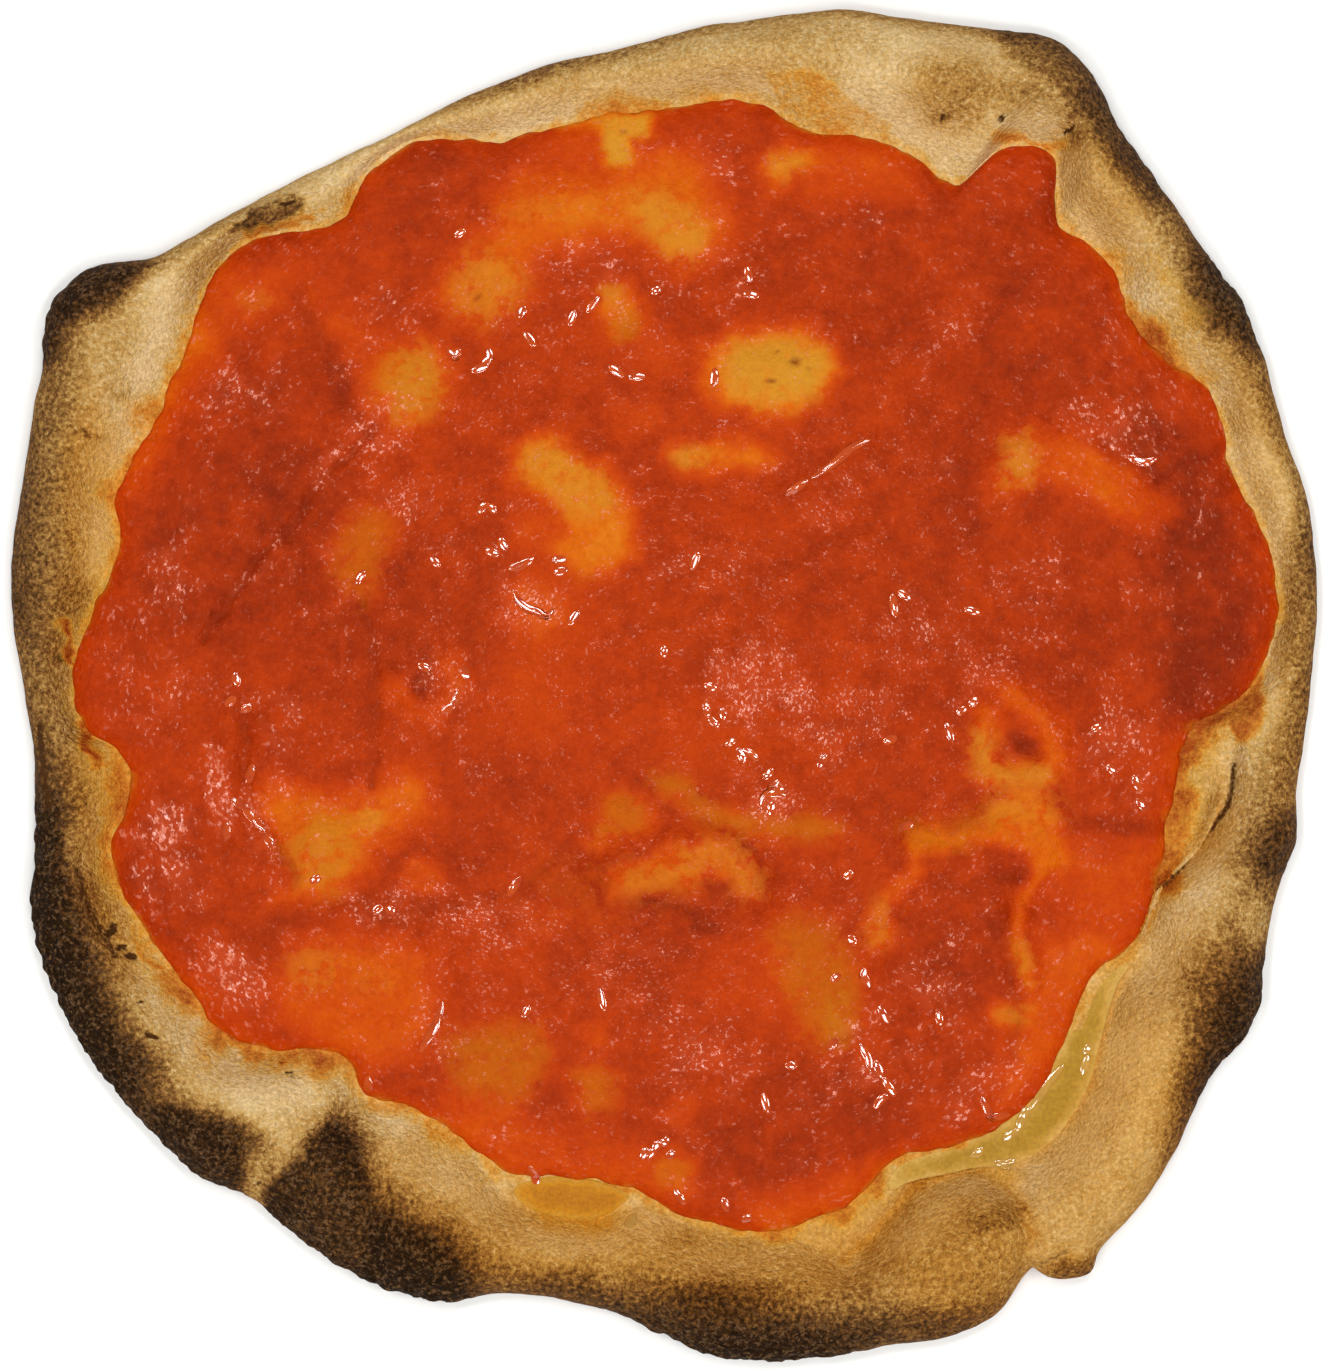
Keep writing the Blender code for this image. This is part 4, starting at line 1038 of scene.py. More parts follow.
@dataclass(frozen=True)
class Crust:
    """The dough in one piece, from the floor under the sauce over the puffed rim to the flat underside."""

    basin_rings: int = 40
    edge_cuts: int = 3
    shelf_steps: int = 6
    inner_steps: int = 22
    outer_steps: int = 24
    under_steps: int = 8
    side_swell: float = 0.3  # share of the swells that is left at the rim's widest point
    underside: float = 1.5  # below this height the dough is baked from below
    floor_height: float = 3.0  # and above this one juice, oil and the painted shade of cracks show

    puff: Unevenness = Unevenness(0.42, 9.0, 3.1)  # the skin's larger unevenness
    wrinkle: Unevenness = Unevenness(0.16, 3.2, 7.7)  # and the smaller
    crumble: Unevenness = Unevenness(0.9, 2.2, 1.3)  # how rough the charred skin is
    crumbling: Point = (0.5, 0.9)  # how brown the skin is where it begins to crumble, and where it is char
    slant: float = 0.7  # how much of a point's height moves it through the skin's noise
    skin_start: Point = (0.5, 1.3)  # stretches between which the skin turns uneven
    pits_end: float = 2.3  # pits lie on the stretches before this
    pit_stir: Point = (0.8, 2.4)
    pit_shade: float = 1.2  # painted shade: darkness for each millimetre of depth

    usual_toast: float = 0.09  # how brown plain dough is
    toast_drift: Unevenness = Unevenness(1.0, 9.0, 5.5)
    toast_drift_share: float = 0.06
    edge_drift: float = 1.4  # how far that drift moves the browned edge
    edge_fade: Point = (0.05, 1.15)  # shares of the browning's width between which it runs out
    under_toast: float = 0.5
    under_fade: Point = (3.0, 3.6)
    scorch_stir: Point = (1.5, 6.0)
    cast_stir: Point = (1.2, 5.0)

    seep_stir: Point = (2.6, 6.0)
    seep_drift: Unevenness = Unevenness(0.7, 9.0, 2.9)
    seep_least: float = 0.8  # how far juice reaches where it reaches least
    seep_extra: float = 1.0
    seep_fade: Point = (0.1, 1.25)  # shares of its reach between which it runs out
    seep_strength: float = 0.34  # how much juice is taken up beside the sauce
    seep_strength_length: float = 14.0  # and the reach that would add 1 to it
    seep_most: float = 0.95

    def drawn(self) -> bmesh.types.BMesh:
        """Draws a unit disc, then rings of the rim one above another, then the underside.

        Returns:
            The crust as drawn.
        """
        dough = round_sheet(self.basin_rings, 0.0, self.edge_cuts)
        loop = open_edges(dough)
        for stretch, count in zip(Stretch, (self.shelf_steps, self.inner_steps, self.outer_steps, self.under_steps)):
            for step in range(count):
                drawn = bmesh.ops.extrude_edge_only(dough, edges=loop)["geom"]
                loop = [item for item in drawn if isinstance(item, bmesh.types.BMEdge)]
                for vertex in (item for item in drawn if isinstance(item, bmesh.types.BMVert)):
                    vertex.co.z = stretch + (step + 1) / count
        bmesh.ops.contextual_create(dough, geom=loop)
        return dough

    def place(self, drawn: Array) -> Array:
        """Moves the drawn points to the dough's surface.

        Args:
            drawn: the points as drawn.

        Returns:
            The points in millimetres.
        """
        bearing = np.arctan2(drawn[:, 1], drawn[:, 0])
        stage = drawn[:, 2]
        reach = np.hypot(drawn[:, 0], drawn[:, 1])
        shelf, inner, outer, under = (np.clip(stage - stretch, 0.0, 1.0) for stretch in Stretch)
        outer, under = outer * math.pi / 2, under * math.pi / 2
        sauce, foot, edge = SAUCE_EDGE.at(bearing), FORM.foot(bearing), CRUST_EDGE.at(bearing)
        height = FORM.rim_height(bearing)
        crest = foot + (edge - foot) * FORM.rim_crest

        radius = np.where(stage > Stretch.SHELF, sauce + (foot - sauce) * shelf, reach * sauce)
        radius = radius + (crest - foot) * inner + (edge - crest) * np.sin(outer)
        radius = radius - height * FORM.rim_tuck * (1.0 - np.cos(under))
        x, y = radius * np.cos(bearing), radius * np.sin(bearing)

        slope = FORM.inner_slope(inner, bearing)
        side = height * (FORM.rim_side + (1.0 - FORM.rim_side) * np.cos(outer))
        swell = FORM.relief(x, y, inner) * (self.side_swell + (1.0 - self.side_swell) * np.cos(outer))
        z = np.where(stage > Stretch.OUTER, side, slope) + swell
        z = np.where(stage > Stretch.SHELF, z, FORM.floor(reach, x, y))
        z = np.where(stage > Stretch.UNDER, z * (1.0 - np.sin(under)), z)

        # The skin's unevenness stands outwards, and fades where the rim curls in under itself
        char = smooth_step(self.toast(x, y, bearing, smooth_step(stage, *self.under_fade)), *self.crumbling)
        lift = self.skin(x, y, z, char) * smooth_step(stage, *self.skin_start) * np.cos(under)
        radius = radius + lift * np.sin(outer) * np.cos(under * 0.5)
        z = z + lift * (np.cos(outer) - np.sin(under) * 0.3)
        z = z + np.where(stage <= self.pits_end, self.pits(x, y), 0.0)
        return np.column_stack((radius * np.cos(bearing), radius * np.sin(bearing), np.maximum(z, 0.0)))

    def skin(self, x: Array, y: Array, z: Array, char: Array) -> Array:
        """The small unevenness of the skin, along its outward direction."""
        around, up = x + z * self.slant, y + z
        return self.puff.at(around, y) + self.wrinkle.at(around, up) + char * self.crumble.at(around, up)

    def pits(self, x: Array, y: Array) -> Array:
        """The depth of the ragged pits in the skin."""
        return total_rise(DOUGH_PITS, *stirred(x, y, *self.pit_stir))

    def toast(self, x: Array, y: Array, bearing: Array, under: Array) -> Array:
        """How brown the dough is.

        Args:
            x: places along X.
            y: places along Y.
            bearing: their bearings.
            under: 1 on the underside and 0 elsewhere.

        Returns:
            Its browning at each place, with 1 as char.
        """
        drift = self.toast_drift.at(x, y)
        inward = CRUST_EDGE.at(bearing) - np.hypot(x, y) + self.edge_drift * drift
        edge = 1.0 - smooth_step(inward / EDGE_BROWNING_WIDTH.at(bearing), *self.edge_fade)
        edge = np.maximum(EDGE_BROWNING.at(bearing) * edge, self.under_toast * under)
        x_moved, y_moved = stirred(x, y, *self.scorch_stir)
        spots = total_cover(SCORCHES, x_moved, y_moved)
        browned = 1.0 - (1.0 - edge) * (1.0 - spots) + self.usual_toast + self.toast_drift_share * drift
        return np.clip(browned * (1.0 - total_cover(PALE_DOUGH_AND_PAINTED_LIGHT, x_moved, y_moved)), 0.0, 1.0)

    def stain(self, x: Array, y: Array, bearing: Array) -> Array:
        """How much of the sauce's juice the dough has taken up.

        Args:
            x: places along X.
            y: places along Y.
            bearing: their bearings.

        Returns:
            The share at each place.
        """
        x_moved, y_moved = stirred(x, y, *self.seep_stir)
        outward = np.hypot(x_moved, y_moved) - SAUCE_EDGE.at(np.arctan2(y_moved, x_moved))
        reach = (STAIN_REACH.at(bearing) + self.seep_extra) * (1.0 + self.seep_drift.at(x, y))
        reach = np.maximum(self.seep_least, reach)
        strength = np.clip(self.seep_strength + reach / self.seep_strength_length, 0.0, self.seep_most)
        seep = (1.0 - smooth_step(outward / reach, *self.seep_fade)) * strength
        return np.maximum(seep, total_cover(GOLDEN_STAINS, x_moved, y_moved))

    def build(self, finish: bpy.types.Material) -> bpy.types.Object:
        """Makes the crust.

        Args:
            finish: the baked dough.

        Returns:
            The piece.
        """
        mesh = place_points(self.drawn(), "baked_crust", self.place)
        x, y, z = points_of(mesh).T
        bearing = np.arctan2(y, x)
        upper = z > self.floor_height
        x_moved, y_moved = stirred(x, y, *self.cast_stir)
        # pits are marked darker the deeper they are: painted shade
        pits = np.clip(-self.pits(x, y) * self.pit_shade, 0.0, 1.0)
        mark_points(mesh, Mark.TOAST, self.toast(x, y, bearing, z < self.underside))
        mark_points(mesh, Mark.GOLD, total_cover(GOLD_DOUGH, x_moved, y_moved))
        mark_points(mesh, Mark.STAIN, self.stain(x, y, bearing) * upper)
        mark_points(mesh, Mark.OILED, total_cover(OILED_DOUGH, x_moved, y_moved) * upper)
        mark_points(mesh, Mark.CREASE, np.maximum(pits, total_cover(DOUGH_CREASES, x, y)) * upper)
        return add_piece(mesh, finish, node="crust")


# ---------- Sauce ----------

THIN_SAUCE = (  # where the sauce turns orange; most lie over bubbles in the dough
    # Top
    Patch(((-16, 136), (-12, 137), (-8, 138), (-3, 137), (-3.5, 132.5), (-8, 130), (-7, 126), (-9, 123.5), (-14, 125),
        (-15, 129), (-13.5, 132.5)), 3.0, 1.0),
    Stroke(((-24, 135.5), (-18, 136.5), (-12, 137)), 2.6, 0.8),
    Patch(((-40, 117), (-34, 119.5), (-27, 121), (-18, 121), (-8, 124), (0, 128), (8, 127.5), (11, 124), (13, 119),
        (15, 112), (14, 107), (9, 102), (4, 100), (-1, 102), (-5, 106), (-9, 108), (-15, 107), (-22, 105),
        (-28, 103.5), (-32, 99), (-33, 94), (-37, 89), (-44, 86), (-51, 88), (-55, 93), (-53, 98), (-48, 103),
        (-43, 107), (-40, 111)), 6.0, 0.58),
    Patch(((-28, 118), (-16, 117), (-8, 119), (4, 117), (11, 111), (11, 105), (6, 101.5), (0, 104), (-8, 110),
        (-18, 111), (-28, 110)), 5.6, 0.3),
    Patch(((-14, 95), (-10, 96.5), (-7, 93), (-6, 88), (-9, 84.5), (-13, 84.5), (-15.5, 89)), 4.9, 0.7),
    Patch(((25, 127.5), (30, 128.5), (36, 128), (36, 124), (32, 122.5), (30, 120), (27, 119), (24, 122)), 4.5, 0.75),
    Patch(((30, 131), (45, 131), (56, 128), (61, 124), (60, 117), (48, 117), (38, 114.5), (33, 118), (35, 124)),
        5.6, 0.3),
    Patch(((-32, 131), (-24, 132), (-17, 134), (-14, 127), (-18, 122), (-27, 122), (-36, 120)), 5.6, 0.26),
    Patch(((10, 81), (16, 84), (24, 85.5), (33, 85), (40, 81), (42, 75), (39, 69), (32, 65), (22, 64.5), (14, 67),
        (10, 73)), 4.9, 0.85),
    Oval(-8, 64, 6, 5, 0, 0.18, 0.7), Oval(-2, 78, 8, 6, 0, 0.12, 0.7),
    # Left
    Patch(((-62, 82), (-57, 82), (-53, 79), (-51.5, 73), (-53, 68), (-57, 63.5), (-62, 61), (-66, 63), (-69.5, 67),
        (-70, 73), (-67, 79)), 5.6, 0.66),
    Patch(((-105, 92), (-100, 97), (-94, 97), (-92, 92), (-97, 88), (-103, 88)), 4.9, 0.4),
    Patch(((-113, 81), (-108, 87), (-104, 85), (-108, 78)), 4.9, 0.34),
    Stroke(((-89, 96), (-85, 89), (-80, 85), (-76, 83)), 5.6, 0.22),
    Stroke(((-128, 56), (-124, 64), (-120, 72), (-116, 80), (-112, 88), (-106, 97)), 6.4, 0.3),
    Patch(((-77, 39), (-70, 42), (-65, 40), (-65, 34), (-68, 28), (-71, 21), (-77, 20), (-80, 26), (-79, 33)),
        5.6, 0.36),
    # Centre
    Patch(((-35, 57), (-31, 60.5), (-26, 60), (-22, 57.5), (-19.5, 53.5), (-14, 52.5), (-10.5, 49), (-9, 43), (-7, 41),
        (-8, 34), (-7.5, 30), (-13, 26), (-19, 24.5), (-24, 27.5), (-26.5, 33), (-23.5, 37), (-25.5, 41), (-28.5, 45),
        (-33, 46.5), (-36.5, 52)), 4.2, 0.7),
    Patch(((0, 54), (3, 57.5), (12, 58.5), (22, 58), (28, 55), (24, 51.5), (14, 51.5), (5, 51)), 3.4, 0.66),
    Patch(((-37, 24), (-33, 27), (-27, 24), (-22, 18), (-25, 12.5), (-31, 9.5), (-37, 13)), 5.6, 0.42),
    Patch(((-35, 8), (-28, 26), (-12, 27), (-6, 14), (-4, -2), (-10, -12), (-22, -16), (-34, -8)), 11.3, 0.08),
    Patch(((-18, -38), (-15, -40.5), (-11, -37), (-6, -35.5), (-2.5, -33), (-3.5, -28.5), (-7, -26.5), (-11, -23.5),
        (-14, -25.5), (-16, -31)), 4.2, 0.4),
    Patch(((-1, -22), (4, -25), (9, -29), (16, -31.5), (24, -32.5), (31, -34), (36, -31.5), (41.5, -32.5), (41.5, -37),
        (33, -37.5), (24, -37.5), (15, -35), (8, -31.5), (2, -28)), 3.4, 0.34),
    Patch(((-13, -46), (-9.5, -43.5), (-4.5, -41), (4, -39.5), (10, -37.5), (16.5, -38), (21, -43), (22, -50.5),
        (18.5, -50), (15.5, -46), (9.5, -45), (7, -47.5), (6, -51.5), (1, -51.5), (-6, -51), (-12, -50)), 2.2, 0.4),
    Stroke(((-64, -2), (-60, -5.5), (-54, -5.5), (-50, 0), (-51.5, 5)), 3.2, 0.34),
    Oval(-36, -4, 10, 14, 20, 0.12, 0.7), Oval(8, -12, 14, 10, 0, 0.1, 0.7), Oval(-31, 37, 6, 5, 0, 0.3, 0.7),
    # Lower left
    Patch(((-98, -27), (-92, -24.5), (-84, -26), (-76, -27), (-70, -25), (-66, -23), (-62, -21), (-56.5, -23),
        (-56, -30), (-59, -34.5), (-65, -37), (-69, -39), (-71, -44), (-76, -49.5), (-84, -52), (-93, -52), (-89, -46),
        (-91, -40), (-94.5, -35), (-98, -31)), 4.9, 0.62),
    Oval(-58, -46, 5, 4.5, 0, 0.36, 0.5),
    Patch(((-93, -70), (-88, -62), (-78, -60), (-66, -62), (-56, -66), (-54, -74), (-56, -84), (-62, -90), (-72, -90),
        (-84, -86), (-92, -79)), 5.5, 0.42),
    Stroke(((-124, -62), (-112, -77), (-103, -85), (-94, -88)), 3.0, 0.1),
    Stroke(((-113, 84), (-120, 66), (-127, 48)), 4.0, 0.25),
    # Right
    Patch(((81, 53), (83, 59), (87, 61.5), (92, 60), (99, 60), (104, 57.5), (110, 54.5), (115, 50.5), (120.5, 46),
        (122, 42), (116, 38), (108, 39), (103, 42.5), (99, 46.5), (93, 48), (86, 46), (80, 45), (77, 42), (78.5, 49)),
        3.8, 0.44),
    Stroke(((82, -1), (85.5, -3.5), (90.5, -8), (94, -13), (94.5, -18), (91, -21.8), (84, -21.8), (78, -20.5),
        (77, -15), (78, -9)), 3.8, 0.5),
    Patch(((59, -35), (61.5, -33), (65, -33.5), (69, -36), (75, -34.5), (77.5, -30.5), (83, -26), (88, -25),
        (92, -26.5), (95, -32), (95.5, -38.5), (97, -43), (93, -45), (89, -49.5), (86.5, -54.5), (86, -59),
        (87.5, -64), (89, -69), (88, -73), (84.5, -69), (82.5, -64), (83, -57.5), (84.5, -51), (87, -46.5),
        (86.5, -41), (81.5, -38.5), (75, -38.5), (68, -40), (62.5, -40), (58.5, -41.5)), 1.8, 0.56),
    Oval(83.5, -79, 6, 3.6, 0, 0.44, 0.5),
    Patch(((61.5, -40), (62.5, -45.5), (57.5, -50.5), (53.5, -55), (56, -58), (55, -62.5), (51, -65), (48.5, -61),
        (49, -56), (52, -51), (57, -46.5), (59, -41)), 2.0, 0.42),
    Patch(((25, -60), (31, -56), (40, -57), (46, -64), (47, -74), (45, -86), (38, -90), (33, -84), (28, -74)),
        7.5, 0.24),
    Patch(((92, -37), (108, -38), (119, -38), (118, -50), (113, -61), (100, -60), (93, -50)), 7.5, 0.28),
    Patch(((90, -60), (104, -60), (110, -63), (103, -72), (98, -83), (94, -91), (88, -99), (80, -104), (80, -94),
        (86, -80)), 5.6, 0.4),
    # Bottom
    Patch(((-51, -83.5), (-45, -83), (-38, -81.5), (-29.5, -82), (-28, -88), (-30, -93), (-32, -98), (-38, -101),
        (-45, -100), (-51, -97)), 5.6, 0.24),
    Patch(((-21, -93), (-15, -91.5), (-11.5, -95), (-12.5, -101.5), (-18, -104), (-22, -98)), 4.9, 0.42),
    Patch(((-19, -83), (-14, -82), (-14, -86.5), (-18, -87.5)), 3.8, 0.4),
    Patch(((-52, -100), (-38, -102), (-30, -105), (-20, -110), (-10, -111.5), (0, -113), (6, -116), (8, -124),
        (-8, -124), (-38, -120), (-53, -110)), 5.5, 0.28),
    Oval(2.5, -116.5, 4.5, 4, 0, 0.3, 0.5), Oval(5, -103.5, 4, 4, 0, 0.14, 0.6),
    Patch(((20, -125), (30, -120.5), (40, -118), (48, -116), (56, -112), (52, -123), (46, -128), (38, -130),
        (30, -132), (22, -134)), 4.9, 0.36),
    Oval(22, -70, 12, 12, 0, 0.1, 0.7), Oval(-30, -62, 24, 8, 10, 0.1, 0.7),
)
JUICY_SAUCE = (  # where the oil in the sauce gives it a yellowish brown
    Patch(((-52, -84), (-45, -83), (-38, -82), (-30, -82.5), (-28.5, -88), (-30.5, -93), (-33, -99), (-40, -100),
        (-50, -96)), 4.3, 0.62),
    Patch(((-21, -93), (-15, -91.5), (-12, -95), (-13, -101), (-18, -103)), 3.5, 0.5),
    Patch(((26, -60), (32, -56), (40, -58), (45, -66), (46, -80), (42, -88), (36, -86), (30, -75)), 5.2, 0.55),
    Oval(42, -79, 4, 9, 0, 0.4, 0.6),
    Patch(((-76, 39), (-70, 42), (-66, 39), (-68, 28), (-73, 20), (-79, 26)), 4.3, 0.5),
    Patch(((-17, -38), (-11, -36.5), (-5, -34), (-4, -29), (-11, -25), (-14, -27)), 2.9, 0.55),
    Stroke(((0, -23), (8, -29), (16, -33), (28, -34.5), (40, -34.5)), 2.9, 0.62),
    Oval(-10, 86.5, 3.6, 4.4, 0, 0.6, 0.6),
    Patch(((-92, -40), (-86, -30), (-76, -30), (-74, -40), (-80, -50)), 4.3, 0.5),
    Stroke(((60, -36), (70, -37), (78, -32)), 3.8, 0.5), Oval(2, -117, 4, 3.4, 0, 0.4, 0.6),
    Oval(-61, 72, 8, 8, 0, 0.5, 0.6), Oval(-20, -50, 14, 8, 0, 0.1, 0.7),
)
BALD_SAUCE = (  # where the dough's own tan shows
    Patch(((-15, 135.5), (-8, 137.5), (-3.5, 136), (-4, 132.5), (-8.5, 130.5), (-8, 126), (-13, 125.5), (-14.5, 129)),
        1.8, 0.8),
    Patch(((-7, 118), (0, 117.5), (7, 114.5), (11.5, 110), (11, 105), (6, 101.5), (0, 103.5), (-4, 108), (-8, 112.5)),
        3.2, 0.55),
    Patch(((-46, 103.5), (-38, 103.5), (-34, 97), (-36, 90), (-43, 87), (-49, 89.5), (-51, 96)), 4.4, 0.36),
    Oval(-25, 114, 14, 4, 6, 0.14, 0.7),
    Patch(((14.5, 79), (17, 82), (24, 83), (33, 82.5), (39, 79), (40, 75), (37, 70), (31, 67), (22, 66.5), (17, 69),
        (15, 74)), 3.4, 0.8),
    Patch(((29, 81), (37, 79), (38.5, 75), (34, 71), (28, 73)), 3.6, 0.5),
    Patch(((-62, 80), (-57, 80), (-54, 76), (-55, 70), (-59, 65), (-64, 65), (-67.5, 70), (-66, 76)), 4.8, 0.4),
    Patch(((26, 127), (34, 127.5), (34, 124.5), (30, 122), (27, 122)), 3.2, 0.5),
    Patch(((-33, 57.5), (-27, 58.5), (-22, 55), (-15, 50.5), (-12, 44), (-16, 40), (-23, 41), (-29, 47), (-34, 51)),
        3.0, 0.5),
    Oval(6, 55, 4.6, 2.6, 6, 0.5, 0.6), Oval(-12, 94, 3.4, 2.6, 0, 0.4, 0.6),
    Patch(((-74, -29.5), (-68.5, -29), (-67, -33), (-70, -36), (-74, -35)), 2.1, 0.45),
    Patch(((-89, -36), (-82, -31), (-75, -35), (-74, -42), (-80, -48), (-88, -48)), 4.8, 0.3),
    Oval(-84, -68, 6, 5, 0, 0.24, 0.6), Oval(-70, -72, 5, 4, 0, 0.12, 0.6),
    Patch(((81, 58.5), (88, 60), (90, 54), (87, 48), (81, 49)), 3.6, 0.5), Oval(-117, 82, 2.4, 4, 0, 0.2, 0.6),
    Stroke(((76.5, -14), (77.5, -20.5), (84, -22), (91, -22)), 3.0, 0.5), Stroke(((82, -29.5), (91, -31)), 4.6, 0.3),
    Stroke(((52, -54), (51, -61)), 3.0, 0.24), Stroke(((86, -63), (87.5, -70)), 2.2, 0.3),
    Oval(83.5, -79.5, 4.5, 2, 0, 0.3, 0.6), Oval(42, -80, 3, 7, 0, 0.14, 0.6),
    Stroke(((-7, -47), (2, -46), (10, -41), (17, -41.5), (20, -47)), 4.2, 0.34), Oval(-98, 93, 4, 3, 0, 0.12, 0.6),
)
DEEP_SAUCE_AND_PAINTED_SHADE = (  # thickest, darkest sauce, and painted shade in grooves, pits and by folds
    Patch(((116, 72), (126, 60), (136, 44), (143, 20), (142, 8), (132, -8), (122, -10), (117, 10), (116, 30),
        (108, 58)), 6.0, 0.75),
    Patch(((120, -6), (124, 18), (134, 20), (136, -4), (126, -12)), 4.0, 0.5),
    # painted shade in a broad groove
    Stroke(((-88, 94), (-85, 87), (-80, 80), (-77, 72), (-76, 66)), 3.2, 0.6),
    Patch(((-125, 50), (-112, 76), (-92, 78), (-78, 58), (-78, 20), (-92, 8), (-110, 10), (-126, 30)), 9.0, 0.38),
    # painted shadow under the overhanging fold, and painted shade in a hollow
    Stroke(((104, 57.5), (111, 53.5), (119, 49.5)), 2.0, 0.8), Oval(83, -45, 6, 5, 0, 0.4, 0.5),
    # the ovals at (87, -15.5) and (-45, 93) are painted shade in a crater and a hollow
    Oval(70, -64, 12, 12, 0, 0.4, 0.7), Oval(87, -15.5, 3.6, 3, 0, 0.6, 0.5), Oval(-45, 93, 4, 3.4, 0, 0.5, 0.5),
    # painted shade in a band under a fold
    Stroke(((100, -34), (110, -34), (120, -33)), 2.6, 0.5),
    Patch(((60, 62), (96, 66), (100, 96), (74, 112), (58, 96)), 9.0, 0.1),
    Patch(((-60, 128), (-70, 112), (-62, 100), (-52, 106), (-46, 118), (-48, 128)), 5.0, 0.3),
    Patch(((12, -104), (26, -99), (46, -92), (60, -96), (66, -106), (48, -116), (24, -124), (8, -118)), 5.0, 0.3),
    # the oval is painted shade in a pit
    Oval(-58, 1, 2.4, 3, 0, 0.8, 0.5), Stroke(((-130, -4), (-124, -28), (-126, -46)), 8.0, 0.2),
    Oval(45, 92, 22, 12, 20, 0.25, 0.8), Oval(96, 14, 22, 22, 0, 0.2, 0.8),
    Stroke(((94, 122), (86, 104), (78, 84), (73, 58), (74, 32)), 5.0, 0.4), Oval(-60, 14, 24, 26, 0, 0.3, 0.8),
    # the ovals at (86, -12.5) and (13, -50) are painted shade in the crater and under the arch; the next line is
    # painted shadow below the arch
    Oval(86, -12.5, 5, 6, 0, 0.5, 0.5), Oval(-8, -62, 20, 9, 10, 0.3, 0.6), Oval(13, -50, 4, 4, 0, 0.4, 0.6),
    Stroke(((-9, -55.5), (-4.5, -52.8), (1.5, -52.5), (6, -55), (9, -57.5), (13, -59)), 1.8, 0.7),
    Stroke(((-1, -30.5), (7, -31.8), (12, -34.2), (17, -37), (21, -39)), 1.4, 0.5), Oval(72, -50, 8, 8, 0, 0.12, 0.6),
)
SAUCE_FORMS = (  # bubbles, folds and hollows in the sauce, as in the CAD part, and finer ones
    Oval(-25, 113, 19, 10, 8, 1.1), Oval(4, 111, 14, 9, -28, 1.1), Oval(-43, 97, 13, 10, 0, 1.0),
    Oval(-61, 73, 11, 10, 0, 0.9), Oval(27, 75, 16, 9, 2, 1.3), Oval(13, 55, 14, 6, 8, 0.9),
    Oval(-22, 48, 19, 10, 122, 1.4), Oval(30, 124, 8, 6, 30, 0.8), Oval(-83, -38, 14, 12, 20, 1.1),
    Oval(-74, -75, 19, 14, -10, 1.4), Oval(-12, -31, 9, 6, 10, 0.8), Oval(36, -71, 14, 10, 100, 0.8),
    Oval(-38, -88, 14, 10, 0, 0.7), Oval(-100, -72, 12, 12, 0, 0.8), Oval(-45, 92.5, 4.5, 3.8, 0, -0.7),
    Stroke(((80, 51), (88, 57), (99, 57), (109, 48), (116, 43)), 4.5, 1.5),
    Stroke(((60, -36), (72, -36.5), (80, -30), (89, -28.5), (93, -33), (91, -42), (87, -48), (85, -54)), 3.6, 1.6),
    Stroke(((85, -54), (84, -59), (87, -66), (88, -72)), 2.6, 1.3), Oval(84, -79, 7, 5, 0, 0.9),
    Stroke(((61, -36), (60, -44), (56, -50), (51, -57), (51, -66)), 3.2, 1.1),
    Stroke(((82, -2), (87, -4), (93, -10), (95.5, -15), (93, -21), (86, -22), (78, -21), (77, -13), (79, -6),
        (82, -2)), 2.8, 1.5),
    Stroke(((-15, -45), (-8, -41.5), (2, -40), (11, -39.5), (19, -43.5), (23, -51)), 4.6, 1.9),
    Stroke(((-65, 2), (-60.5, -5), (-54, -5.5), (-49.5, 0), (-51.5, 6)), 2.4, 1.1), Oval(-58, 1, 3, 3, 0, -0.4),
    Stroke(((18, 41), (30, 46), (36, 50), (41, 53), (45, 57), (50, 59)), 1.8, 0.75),
    Stroke(((20, -97), (32, -92), (46, -85)), 1.8, 0.5), Stroke(((-71, -24), (-66, -16), (-66, -8)), 2.6, 0.4),
    Stroke(((5, -5), (20, -8), (40, -6), (52, -12)), 3.0, 0.4), Stroke(((8, -14), (24, -18), (42, -17)), 3.0, 0.4),
    Stroke(((-104, -6), (-105, -24), (-103, -38)), 2.4, 0.7), Stroke(((-96, -8), (-97, -22), (-91, -38)), 2.2, 0.6),
    Stroke(((-58, -55), (-54, -62), (-53, -72), (-55, -84)), 3.0, 0.8),
    Stroke(((-97, -60), (-88, -55), (-76, -55)), 3.0, 0.5), Stroke(((100, -48), (112, -46)), 4.0, 0.5),
    Stroke(((92, 118), (88, 108), (92, 98)), 5.0, 0.5), Oval(103.5, 66, 4, 12, -10, 0.5),
    Oval(-122, -34, 9, 14, 10, 0.6), Oval(50, -92, 12, 10, 0, 0.5),
)
